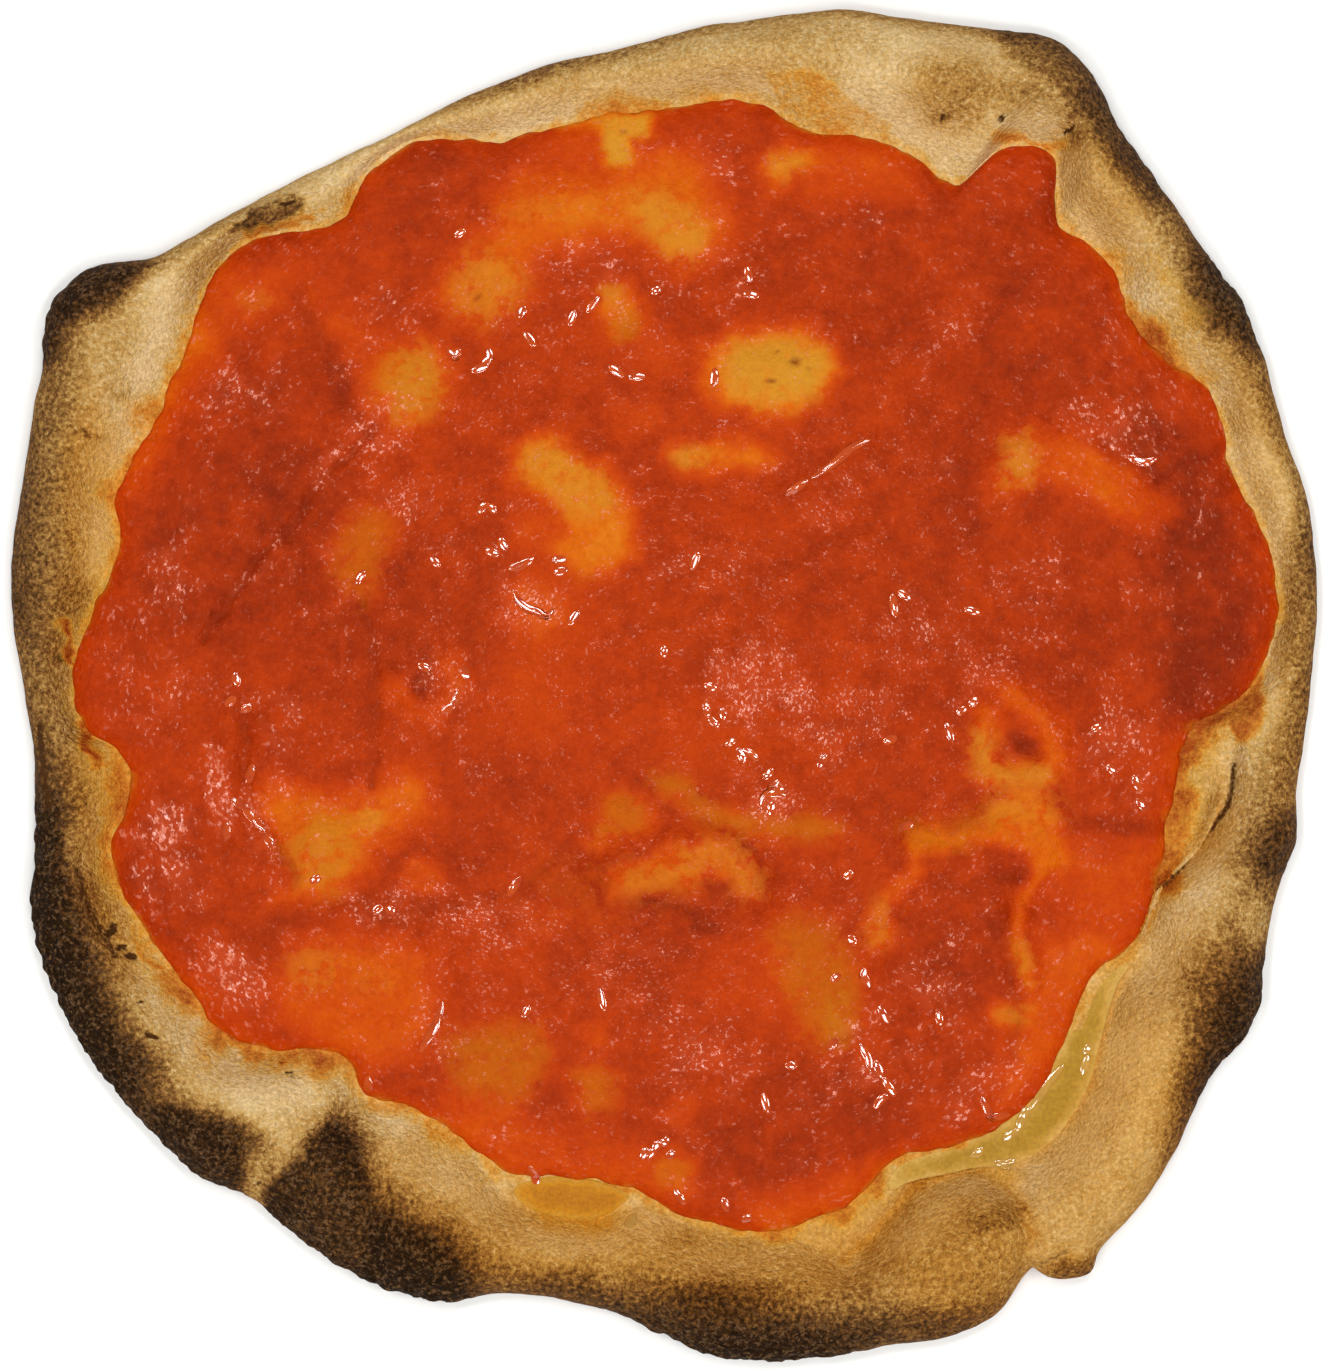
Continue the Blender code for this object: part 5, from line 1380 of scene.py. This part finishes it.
# creases in the sauce's relief; their depth is also painted as dark shade
SAUCE_CREASES = (
    Stroke(((-70, 61), (-81, 50), (-86, 44.5), (-89.5, 37), (-97, 30.5), (-104, 20), (-110, 11)), 1.2, -0.9),
    Stroke(((-100, -8), (-101, -20), (-100, -27), (-98, -33), (-94, -38), (-91, -42), (-88, -47)), 1.4, -0.7),
    Stroke(((-73, 20), (-70.5, 13), (-70, 4), (-69, -6), (-70, -15), (-69.5, -24)), 1.3, -0.5),
    Oval(-69.5, -23.5, 2, 2.4, 0, -0.5),
    Stroke(((-100, -60), (-84, -54), (-74, -51), (-62, -57), (-50, -53)), 2.2, -0.45),
    Stroke(((-50, -53), (-36, -50), (-22, -38)), 1.7, -0.4), Stroke(((-3, -51), (5, -51), (11, -58)), 2.4, -0.6),
    Stroke(((15, -99), (26, -95), (36, -89), (47, -84)), 1.6, -0.35),
    Stroke(((81, -56), (83, -66), (85, -78), (84, -88)), 1.8, -0.5),
    Stroke(((66, -48), (78, -52), (80, -60)), 2.4, -0.4), Stroke(((104, -32), (112, -34), (120, -34)), 2.0, -0.4),
    Stroke(((76, 37), (80, 43)), 1.8, -0.4), Stroke(((-110, 92), (-104, 84), (-100, 76)), 2.4, -0.25),
    Stroke(((92, 128), (94, 118), (95, 112)), 2.2, -0.35),
    Stroke(((-14, 12), (2, 15), (18, 22), (34, 31), (50, 39)), 1.2, -0.4),
    Stroke(((4, 7), (20, 14), (38, 25), (54, 28)), 1.2, -0.3),
    Stroke(((6, -6), (24, -10), (44, -8), (58, -13)), 1.3, -0.35), Stroke(((10, -16), (27, -20), (46, -18)), 1.2, -0.3),
    Stroke(((-46, 18), (-44, 5)), 2.4, -0.25), Stroke(((-88, 94), (-85, 87), (-80, 80), (-77, 70)), 2.6, -0.4),
    Stroke(((105, 58), (112, 53.5), (120, 50)), 1.6, -0.6), Oval(82, -46, 4, 3, 0, -0.7),
    Oval(88, -15.5, 4, 3.4, 0, -0.7), Stroke(((-20, 26), (-4, 16), (10, 8)), 2.4, -0.2),
    Stroke(((30, 44), (44, 50), (54, 56)), 1.4, -0.25),
)
# small pits in the sauce's relief; their depth is also painted as dark shade
SAUCE_PORES = (
    Oval(-9.7, 133, 0.6, 0.6, 0, -0.8), Oval(31.5, 77.6, 2.1, 0.8, -16, -0.9), Oval(27, 79.7, 1.2, 0.5, 10, -0.5),
    Oval(25, 72.7, 3.2, 0.45, 4, -0.6), Oval(35, 76, 1.2, 0.5, 0, -0.4), Oval(-45, 93, 1.8, 0.7, 20, -0.4),
)
OILY_FILM = (  # where the sauce shines, and where its painted sheen and glints lie
    Oval(-102.5, -73, 9.5, 10, 0, 0.8), Oval(-120, -50, 9, 8, 0, 0.4), Oval(-123, -34, 8, 6, 0, 0.8),
    Oval(-108, -27, 2.6, 11, 6, 0.9), Oval(-128, -4, 7, 7, 0, 0.19), Oval(-115, 3, 8, 5, 0, 0.23),
    Oval(-124, 12, 8, 7, 0, 0.2), Oval(-134, 6, 5, 7, 0, 0.12), Oval(-66, 87, 6, 6, 0, 0.36),
    Oval(-62, 46, 8, 5, 0, 0.48), Oval(-100, 72, 13, 7, 20, 0.3), Oval(-120, 27, 9, 8, 0, 0.36),
    Oval(22, 1, 14, 9, 0, 0.55), Oval(42, -10, 16, 8, 0, 0.36), Oval(26, -27, 9, 6, 0, 0.61),
    Oval(80, 2, 8, 5, 0, 0.36), Oval(113, 58, 8, 6, -30, 0.36), Oval(104, 64, 8, 6, 0, 0.36),
    Oval(89, 24, 8, 6, 0, 0.3), Oval(50, -92, 11, 8, 0, 0.36), Oval(12, -92, 10, 7, 0, 0.42),
    Oval(-20, 100, 14, 6, 0, 0.24), Oval(-34, 20, 8, 7, 0, 0.48), Oval(-98, -34, 3, 9, 30, 0.61),
    Oval(-58, -52, 20, 5, 0, 0.42), Oval(-70, 62, 14, 6, 40, 0.3), Oval(78, -98, 12, 6, 30, 0.42),
    Oval(-54, -80, 5, 12, 10, 0.36), Oval(-40, -58, 14, 6, 0, 0.3), Oval(66, -72, 8, 10, 0, 0.42),
    Oval(110, -14, 8, 12, 0, 0.36), Oval(60, 8, 16, 10, 0, 0.24), Oval(-52, 0, 8, 8, 0, 0.42),
    Oval(12, 30, 14, 7, 0, 0.27), Oval(0, -82, 14, 8, 0, 0.24), Stroke(((-72, 60), (-81, 50)), 1.6, 0.7),
    Stroke(((-94, 33), (-105, 19)), 1.4, 0.5), Oval(-92, -14, 4, 14, 0, 0.36), Oval(-8, -66, 14, 8, 0, 0.24),
    Oval(44, 46, 14, 5, 30, 0.3), Oval(14, 98, 12, 7, 0, 0.24),
)


@dataclass(frozen=True)
class Sauce:
    """The tomato sauce: one layer over the dough, rounded off at its edge."""

    top_rings: int = 150
    under_rings: int = 25
    under_cuts: int = 5
    depth: float = 2.3  # above the dough, where it lies thick
    thin_depth: float = 1.0  # over a bubble
    thinned: float = 0.8  # share of that difference that shows as relief
    edge_depth: float = 0.08
    least_depth: float = 0.06
    edge_round: float = 2.3  # how far in the edge is rounded
    edge_start: float = 0.8  # share of the way out beyond which the rings follow the uneven outline
    sunk: float = 0.25  # how far its underside lies in the dough, so that no gap shows
    edge_waves: tuple[Unevenness, ...] = (Unevenness(1.0, 7.0, 2.2), Unevenness(0.5, 2.6, 4.4))
    pulp: Unevenness = Unevenness(0.05, 2.6, 6.6)  # the finer lumps
    clots: Unevenness = Unevenness(0.17, 6.0, 1.9)  # and the coarser
    thin_smoothness: float = 0.5  # how much of them thin sauce loses
    form_stir: Point = (1.5, 7.0)

    usual_thinness: float = 0.2  # what plain sauce carries as its thinness
    deepest: float = 0.2  # how much less thinness deep sauce and painted shade carry
    thin_stir: Point = (1.8, 6.0)
    crease_shade: float = 0.5  # painted shade: darkness for each millimetre of depth
    # painted shade in pits, for each millimetre of depth
    pore_shade: float = 1.4
    usual_film: float = 0.14  # what plain sauce carries as its oily film
    film_stir: Point = (5.0, 15.0)

    hem: float = 0.24  # how much thinner the sauce is at its edge
    hem_drift: Unevenness = Unevenness(0.9, 14.0, 6.1)
    hem_width: float = 0.5
    hem_soaked: float = 0.28  # width gained for each millimetre that juice has soaked into the dough
    hem_waver: Unevenness = Unevenness(0.8, 5.0, 8.3)
    hem_least: float = 0.2
    bare_hem: float = 0.65  # how far the dough's tan shows at the very edge
    bare_hem_width: float = 0.4  # as a share of the hem's
    bare_hem_breaks: Unevenness = Unevenness(1.0, 6.0, 9.7)
    bare_hem_fade: Point = (-0.3, 0.8)

    def drawn(self) -> bmesh.types.BMesh:
        """Draws two unit discs a unit apart, joined round their edges.

        Returns:
            The sauce as drawn.
        """
        top = round_sheet(self.top_rings, 1.0)
        under = round_sheet(self.under_rings, 0.0, self.under_cuts)
        bmesh.ops.reverse_faces(under, faces=under.faces)
        whole = joined([top, under])
        bmesh.ops.bridge_loops(whole, edges=open_edges(whole))
        return whole

    def outline(self, bearing: Array) -> Array:
        """The radius at which the sauce ends."""
        edge = SAUCE_EDGE.at(bearing)
        return edge + sum(wave.at(edge * np.cos(bearing), edge * np.sin(bearing)) for wave in self.edge_waves)

    def top(self, x: Array, y: Array) -> Array:
        """The height of the sauce's upper surface.

        Args:
            x: places along X.
            y: places along Y.

        Returns:
            The heights.
        """
        bearing, radius = np.arctan2(y, x), np.hypot(x, y)
        body = 1.0 - np.exp(-np.maximum(0.0, self.outline(bearing) - radius) / self.edge_round)
        x_moved, y_moved = stirred(x, y, *self.form_stir)
        thin = total_cover(THIN_SAUCE, x_moved, y_moved)
        depth = self.edge_depth + (self.depth - self.edge_depth) * body
        depth = depth - (self.depth - self.thin_depth) * thin * body * self.thinned
        lumps = total_rise(SAUCE_FORMS + SAUCE_CREASES, x_moved, y_moved) + total_rise(SAUCE_PORES, x, y)
        lumps = lumps + (1.0 - self.thin_smoothness * thin) * (self.pulp.at(x, y) + self.clots.at(x, y))
        return FORM.dough(x, y) + np.maximum(self.least_depth, depth + body * lumps)

    def place(self, drawn: Array) -> Array:
        """Moves the drawn points to the sauce's surfaces.

        Args:
            drawn: the points as drawn.

        Returns:
            The points in millimetres.
        """
        bearing = np.arctan2(drawn[:, 1], drawn[:, 0])
        share = np.hypot(drawn[:, 0], drawn[:, 1])
        edge = SAUCE_EDGE.at(bearing)
        radius = share * edge + smooth_step(share, self.edge_start, 1.0) * (self.outline(bearing) - edge)
        x, y = radius * np.cos(bearing), radius * np.sin(bearing)
        return np.column_stack((x, y, np.where(drawn[:, 2] > 0.5, self.top(x, y), FORM.dough(x, y) - self.sunk)))

    def hem_cover(self, x: Array, y: Array, share: float = 1.0) -> Array:
        """The band along the edge where the sauce runs out thin.

        Args:
            x: places along X.
            y: places along Y.
            share: the band's width, as a share of the hem's.

        Returns:
            Its cover at each place, with 1 on the edge.
        """
        bearing = np.arctan2(y, x)
        width = self.hem_width + self.hem_soaked * STAIN_REACH.at(bearing) * (1.0 + self.hem_waver.at(x, y))
        inward = np.maximum(0.0, self.outline(bearing) - np.hypot(x, y))
        return np.exp(-inward / (share * np.maximum(width, self.hem_least)))

    def thinness(self, x: Array, y: Array) -> Array:
        """How orange the sauce is: the dough's pale colour shows through where it lies thin.

        Args:
            x: places along X.
            y: places along Y.

        Returns:
            The share at each place.
        """
        x_moved, y_moved = stirred(x, y, *self.thin_stir)
        hem = self.hem * self.hem_cover(x, y) * (1.0 + self.hem_drift.at(x, y))
        thin = self.usual_thinness + (1.0 - self.usual_thinness) * total_cover(THIN_SAUCE, x_moved, y_moved)
        thin = np.maximum(thin, self.usual_thinness + hem)
        return thin - self.deepest * total_cover(DEEP_SAUCE_AND_PAINTED_SHADE, x_moved, y_moved)

    def build(self, finish: bpy.types.Material) -> bpy.types.Object:
        """Makes the sauce.

        Args:
            finish: the cooked tomato.

        Returns:
            The piece.
        """
        mesh = place_points(self.drawn(), "spread_sauce", self.place)
        x, y, _ = points_of(mesh).T
        x_moved, y_moved = stirred(x, y, *self.form_stir)
        # creases and pits are marked darker the deeper they are: painted shade
        hollows = np.clip(-total_rise(SAUCE_CREASES, x_moved, y_moved) * self.crease_shade, 0.0, 1.0)
        pores = np.clip(-total_rise(SAUCE_PORES, x, y) * self.pore_shade, 0.0, 1.0)
        bare_hem = self.bare_hem * self.hem_cover(x, y, self.bare_hem_width)
        bare_hem = bare_hem * smooth_step(self.bare_hem_breaks.at(x, y), *self.bare_hem_fade)
        mark_points(mesh, Mark.THIN, self.thinness(x, y))
        mark_points(mesh, Mark.JUICE, total_cover(JUICY_SAUCE, x_moved, y_moved))
        mark_points(mesh, Mark.BALD, np.maximum(total_cover(BALD_SAUCE, x_moved, y_moved), bare_hem))
        mark_points(mesh, Mark.CREASE, np.maximum(hollows, pores))
        mark_points(mesh, Mark.FILM, self.usual_film + total_cover(OILY_FILM, *stirred(x, y, *self.film_stir)))
        return add_piece(mesh, finish, node="tomato_sauce")


# ---------- Beads of juice and of oil ----------

JUICE_LINES = (  # small wet ridges and drops on the sauce, each as a line of points
    ((-100.5, -30.5), (-99, -32), (-97, -33.5), (-96.5, -35)), ((-95.5, -36.5), (-95, -37.2), (-94.5, -38.5)),
    ((-36, 22), (-35, 20), (-32.5, 18), (-30, 17.5), (-28.5, 16), (-27, 17.5)), ((-36.5, 28), (-33.5, 29), (-32, 30)),
    ((-22.5, 15), (-21, 17)), ((-26, 30), (-24.5, 30)), ((-25.5, 27), (-24, 27.5)),
    ((23.5, -29), (24, -27), (25, -26), (28.5, -26.5)), ((25.5, -30.5), (26, -29)),
    ((27, -23.5), (25.5, -25), (28, -25)), ((24.5, -22), (25.5, -21)), ((18, -16), (19, -18)),
    ((19.5, -16), (21, -16.5), (22, -17.5)), ((15.5, -14), (16.5, -13.5)), ((10, -5), (10.5, -7)),
    ((14, -6.5), (14.3, -7.5)), ((11.5, -8.5), (12.5, -9.5)), ((10.5, -0.3), (11.8, -0.7)), ((0, 7.5), (0, 8.5)),
    ((7, 28.5), (8, 31)), ((37.5, -19), (38.5, -17.5)), ((53.5, -13.5), (55, -13)), ((57.5, -34), (59, -33.5)),
    ((55, 21), (55.5, 17)), ((57, 22), (58.5, 21)), ((-48, 3.5), (-47.5, 2)),
    ((-49.5, -2), (-50, -4), (-51, -5.5), (-52.8, -6.3)), ((-58.3, 4.5), (-57, 4)), ((-55.5, 30), (-54.5, 29)),
    ((-42, 32), (-40.5, 31.5)), ((-39, 34.5), (-38.3, 33)), ((-44, 42), (-43.5, 43), (-42.8, 43)),
    ((-41.5, 42.5), (-41, 42)), ((-49.5, 108), (-48.5, 108.6)), ((-51.5, 80), (-50, 78.5), (-49.5, 80)),
    ((-42, 80), (-41.8, 78.5), (-43, 77.5)), ((-45.5, 75.5), (-43, 76.5)), ((-22.5, 87), (-21.7, 89)),
    ((-18, 90), (-16, 92.5)), ((-33, 84), (-31.5, 82)), ((-34.5, 89), (-33.8, 90)), ((-2.3, 94.5), (-1.6, 94.9)),
    ((20, 99.5), (20.5, 97.5)), ((20, 94), (22, 93.5)), ((12, 72.5), (12.2, 75)), ((-7.7, 74), (-5.5, 74)),
    ((-12.5, 76), (-10.5, 74.5)), ((112, 54.5), (115, 53), (117.5, 54)), ((36, 50), (41, 53), (45, 57), (49, 58.5)),
    ((30, 46), (34, 48.7)), ((48, -69), (47.8, -70), (49, -72)), ((52, -78), (53.5, -80.5)), ((66, -79.5), (66.3, -81)),
    ((68, -10), (69, -13)), ((71, -6.5), (71.8, -6)), ((74, -4.5), (74.6, -3.8)), ((44, -46), (44.6, -45.4)),
    ((45, -61), (45.4, -61.8)), ((103.5, -10.5), (104.2, -10.2)), ((107, -20), (107.6, -20.6)),
    ((113, -22.5), (113.7, -24.5)), ((114, -28), (115, -29.5)), ((73, 18), (75, 17.5)), ((41, -70.5), (41.6, -70.2)),
    ((-53.3, -77), (-54, -80), (-56, -84), (-58.2, -87.5)), ((-69, -54), (-68.3, -53.8)), ((-66, -54), (-65.4, -54.2)),
    ((-84, -47), (-83.4, -46.6)), ((-37, -50), (-35, -47)), ((-104.6, -4.5), (-103.6, -3.6)),
    ((-100.6, -6), (-100, -5.4)), ((-103, 2), (-102.5, 0.5)), ((-105, -34), (-105, -36)), ((-99, -20), (-100, -23)),
    ((-103, -28), (-101.5, -29)), ((-73.5, 25), (-72.5, 26.5)), ((-71, -95), (-71, -97)),
    ((-32, -116.5), (-31, -118), (-30.5, -120.5)), ((-5, -113), (-4.5, -112)), ((-3.5, -113), (-2.5, -112)),
    ((-2, -111), (-1.6, -110.4)), ((0, -110), (0.5, -109.4)), ((1.3, -113), (1.9, -112.6)), ((3, -122), (4.5, -124)),
    ((24, -99), (24.7, -102)), ((30, -91.5), (31, -91.5)), ((40, -87), (41, -86)),
    ((47.5, -87), (49, -89.5), (49.5, -92)), ((51, -91), (52, -93.5)), ((53, -95), (55, -98)),
    ((51, -101), (52, -99.5), (53, -99)), ((-33.5, -79), (-32.8, -78)), ((-15.3, -74), (-14.5, -77.5)),
    ((19.5, -128.5), (20.2, -128)), ((14.5, -124), (15, -125.5)),
    ((76.5, -99.5), (77, -101), (78.5, -104), (82.5, -103.5)),
)
OIL_LINES = (  # ridges and drops of oil on the dough and along the sauce
    ((95.5, -92), (92, -96), (90, -99.5), (88.5, -101.5)), ((87, -102.5), (86.5, -103.5)), ((86, -104), (85.5, -106)),
    ((84.5, -107.5), (82.3, -109)), ((76, -112), (74, -114.3)), ((80.3, -115), (82, -115.5), (83.5, -114.7)),
    ((102.8, -86.5), (101.5, -88)), ((101.7, -90), (100.8, -93)), ((-8.5, -129), (-7.6, -128)),
)


@dataclass(frozen=True)
class WetBeads:
    """Small ridges and drops of liquid that lie on the pizza's surface."""

    name: str
    slot: str
    lines: tuple[tuple[Point, ...], ...]
    half_width: float = 1.1
    height: float = 0.15
    sunk: float = 0.25
    fineness: int = 3
    rounding: float = 0.6  # how far along the line its heading is averaged each way

    def along(self, line: tuple[Point, ...], ball: Array) -> tuple[Array, Array]:
        """Stretches a unit ball along a line.

        Args:
            line: the line's points.
            ball: the ball's points, with X along the line.

        Returns:
            The places along X and along Y.
        """
        stations = np.array(line)
        steps = np.diff(stations, axis=0)
        lengths = np.hypot(*steps.T)
        reach = np.concatenate(([0.0], np.cumsum(lengths)))
        first, last = steps[0] / lengths[0], steps[-1] / lengths[-1]
        share = (ball[:, 0] + 1.0) / 2.0 * (reach[-1] + 2 * self.half_width) - self.half_width
        inside = np.clip(share, 0.0, reach[-1])
        before, after = np.minimum(share, 0.0), np.maximum(share - reach[-1], 0.0)
        x, y = (
            np.interp(inside, reach, column) + before * at_start + after * at_end
            for column, at_start, at_end in zip(stations.T, first, last)
        )
        ahead = np.clip(inside + self.rounding, 0.0, reach[-1])
        behind = np.clip(inside - self.rounding, 0.0, reach[-1])
        tx, ty = (np.interp(ahead, reach, column) - np.interp(behind, reach, column) for column in stations.T)
        across = ball[:, 1] * self.half_width / np.hypot(tx, ty)
        return x - across * ty, y + across * tx

    def build(self, finish: bpy.types.Material, surface: Callable[[Array, Array], Array]) -> bpy.types.Object:
        """Makes the beads.

        Args:
            finish: the liquid.
            surface: the height of what they lie on.

        Returns:
            The piece.
        """
        def laid(drawn: Array) -> Array:
            """Lays each ball along its own line.

            Args:
                drawn: the balls' points, one ball after another.

            Returns:
                The points in millimetres.
            """
            places = []
            for line, ball in zip(self.lines, np.split(drawn, len(self.lines))):
                x, y = self.along(line, ball)
                lift = ball[:, 2] * np.where(ball[:, 2] > 0, self.height, self.sunk)
                places.append(np.column_stack((x, y, surface(x, y) + lift)))
            return np.concatenate(places)

        balls = []
        for _ in self.lines:
            ball = bmesh.new()
            bmesh.ops.create_icosphere(ball, subdivisions=self.fineness, radius=1.0)
            balls.append(ball)
        return add_piece(place_points(joined(balls), self.name, laid), finish)


# ---------- Olive oil ----------

@dataclass(frozen=True)
class OilPool:
    """A pool of olive oil on the bare dough between the sauce and the rim."""

    node: str
    start: float  # bearings in degrees between which it lies
    end: float
    steps: int = 90
    strips: int = 16
    depth: float = 0.3
    edge_depth: float = 0.03
    overlap: float = 0.4  # how far it reaches under the sauce's edge
    margin: float = 0.6  # and up the rim's foot
    sunk: float = 0.2
    end_width: float = 0.1  # its width at its two ends, as a share of the full one
    width_waver: Unevenness = Unevenness(0.12, 5.0, 0.7)
    ripple: Unevenness = Unevenness(0.05, 5.0, 3.3)

    def drawn(self) -> bmesh.types.BMesh:
        """Draws a flat block from -1 to 1, whose upper face stands at 1.

        Returns:
            The pool as drawn.
        """
        pool = bmesh.new()
        bmesh.ops.create_grid(pool, x_segments=self.steps, y_segments=self.strips, size=1.0)
        raised = bmesh.ops.extrude_face_region(pool, geom=list(pool.faces), use_keep_orig=True)["geom"]
        for vertex in (item for item in raised if isinstance(item, bmesh.types.BMVert)):
            vertex.co.z = 1.0
        return pool

    def place(self, drawn: Array) -> Array:
        """Moves the drawn points to the pool's surfaces.

        Args:
            drawn: the points as drawn.

        Returns:
            The points in millimetres.
        """
        along, across, upper = drawn.T
        bearing = np.radians(self.start + (self.end - self.start) * (along + 1.0) / 2.0)
        inside = SAUCE_EDGE.at(bearing) - self.overlap
        outside = FORM.foot(bearing) + self.margin
        taper = self.end_width + (1.0 - self.end_width) * np.sqrt(np.clip(1.0 - along ** 2, 0.0, None))
        uneven = 1.0 + self.width_waver.at(np.degrees(bearing), across)
        radius = (inside + outside) / 2 + (outside - inside) / 2 * across * taper * uneven
        x, y = radius * np.cos(bearing), radius * np.sin(bearing)
        swell = np.sqrt(np.clip((1.0 - across ** 2) * (1.0 - along ** 2), 0.0, 1.0))
        depth = self.edge_depth + (self.depth - self.edge_depth) * swell + swell * self.ripple.at(x, y)
        level = FORM.dough_top(bearing, (inside + outside) / 2)
        under = np.minimum(level, FORM.dough(x, y)) - self.sunk
        return np.column_stack((x, y, np.where(upper > 0.5, level + depth, under)))

    def build(self, finish: bpy.types.Material) -> bpy.types.Object:
        """Makes the pool.

        Args:
            finish: the oil.

        Returns:
            The piece.
        """
        drawn = self.drawn()
        along, across = np.array([vertex.co[:2] for vertex in drawn.verts]).T
        mesh = place_points(drawn, self.node.replace("olive_oil", "oil_pool"), self.place)
        mark_points(mesh, Mark.DEPTH, (1.0 - across ** 2) * (1.0 - along ** 4))
        return add_piece(mesh, finish, node=self.node)


def oiled_dough(x: Array, y: Array) -> Array:
    """The height of the oil's surface on the dough."""
    return FORM.dough(x, y) + OilPool.depth


# ---------- Studio ----------

@dataclass(frozen=True)
class SoftLamp:
    """A square area lamp that looks at the pizza."""

    name: str
    place: tuple[float, float, float]
    side: float
    power: float
    colour: str = "#FFFFFF"

    def hang(self) -> None:
        """Puts the lamp in the scene."""
        lamp = bpy.data.lights.new(self.name, "AREA")
        lamp.shape = "SQUARE"
        lamp.size = self.side
        lamp.energy = self.power
        lamp.color = srgb(self.colour)[:3]
        holder = bpy.data.objects.new(self.name, lamp)
        holder.location = self.place
        holder.rotation_euler = Vector(self.place).to_track_quat("Z", "Y").to_euler()
        bpy.context.scene.collection.objects.link(holder)


@dataclass(frozen=True)
class Studio:
    """A pale floor, soft light and a camera straight above the pizza."""

    view_width_px: int = 1332
    view_height_px: int = 1372
    middle_px: tuple[float, float] = (664.0, 684.5)  # where the pizza's middle stands in the view
    mm_per_px: float = 0.24
    camera_height: float = 1.0
    outline_height: float = 0.007  # where the pizza's outline lies above the table
    sensor: float = 0.036
    floor_half: float = 1.6
    ring_lamps: int = 5  # an odd number, so that a wet ridge of any direction catches one of them
    ring_radius: float = 0.46
    ring_height: float = 1.45
    ring_side: float = 0.24
    ring_power: float = 4.1
    crown: SoftLamp = SoftLamp("crown_lamp", (0.0, 0.02, 1.45), 0.16, 2.2)
    fill: SoftLamp = SoftLamp("fill_softbox", (0.1, -1.4, 0.9), 0.9, 4.0)
    sky: float = 0.24

    def build(self) -> None:
        """Sets up the floor, the lamps, the sky and the camera."""
        self.lay_floor()
        self.fill.hang()
        self.crown.hang()
        for nth in range(self.ring_lamps):
            bearing = math.tau * nth / self.ring_lamps
            place = (self.ring_radius * math.cos(bearing), self.ring_radius * math.sin(bearing), self.ring_height)
            SoftLamp(f"ring_lamp_{nth + 1}", place, self.ring_side, self.ring_power).hang()
        world = bpy.data.worlds.new("soft_sky")
        world.use_nodes = True
        world.node_tree.nodes["Background"].inputs["Color"].default_value = (1.0, 1.0, 1.0, 1.0)
        world.node_tree.nodes["Background"].inputs["Strength"].default_value = self.sky
        bpy.context.scene.world = world
        bpy.context.scene.view_settings.view_transform = "Standard"
        self.aim_camera()

    def lay_floor(self) -> None:
        """Lays the floor."""
        sheet = bmesh.new()
        bmesh.ops.create_grid(sheet, x_segments=1, y_segments=1, size=self.floor_half)
        mesh = bpy.data.meshes.new("pale_floor")
        sheet.to_mesh(mesh)
        sheet.free()
        mesh.materials.append(PalePaint().material())
        floor = bpy.data.objects.new("pale_floor", mesh)
        bpy.context.scene.collection.objects.link(floor)

    def aim_camera(self) -> None:
        """Hangs the camera so that the outline has the size that it has in the photograph."""
        lens = bpy.data.cameras.new("overhead_camera")
        lens.sensor_width = self.sensor / MM
        lens.lens = lens.sensor_width * self.camera_height / (self.view_height_px * self.mm_per_px * MM)
        lens.clip_start = 0.01
        camera = bpy.data.objects.new("overhead_camera", lens)
        camera.location = (
            (self.view_width_px / 2 - self.middle_px[0]) * self.mm_per_px * MM,
            (self.middle_px[1] - self.view_height_px / 2) * self.mm_per_px * MM,
            self.camera_height + self.outline_height,
        )
        bpy.context.scene.collection.objects.link(camera)
        bpy.context.scene.camera = camera


# ---------- Main --------------------


def main() -> None:
    """Builds the pizza and its studio."""
    Crust().build(BakedDough().material())
    sauce = Sauce()
    sauce.build(CookedTomatoSauce().material())
    clear_oil = OliveOil("olive_oil_on_dough", "#C49A4C", "#B48832", "#A2781C")
    juicy_oil = OliveOil("olive_oil_with_tomato_juice", "#BC8628", "#BA7806", "#AC6A02")
    OilPool("olive_oil_right", -66.0, -31.0).build(clear_oil.material())
    OilPool("olive_oil_bottom", 253.5, 266.0).build(juicy_oil.material())
    juice = ClearLiquid("clear_tomato_juice", "#C04A0A", "#A83606").material()
    WetBeads("juice_beads", "tomato_sauce", JUICE_LINES).build(juice, sauce.top)
    beaded_oil = ClearLiquid("beads_of_olive_oil", "#BC8E40", "#AC7E30").material()
    WetBeads("oil_beads", "olive_oil", OIL_LINES).build(beaded_oil, oiled_dough)
    Studio().build()


if __name__ == "__main__":
    main()
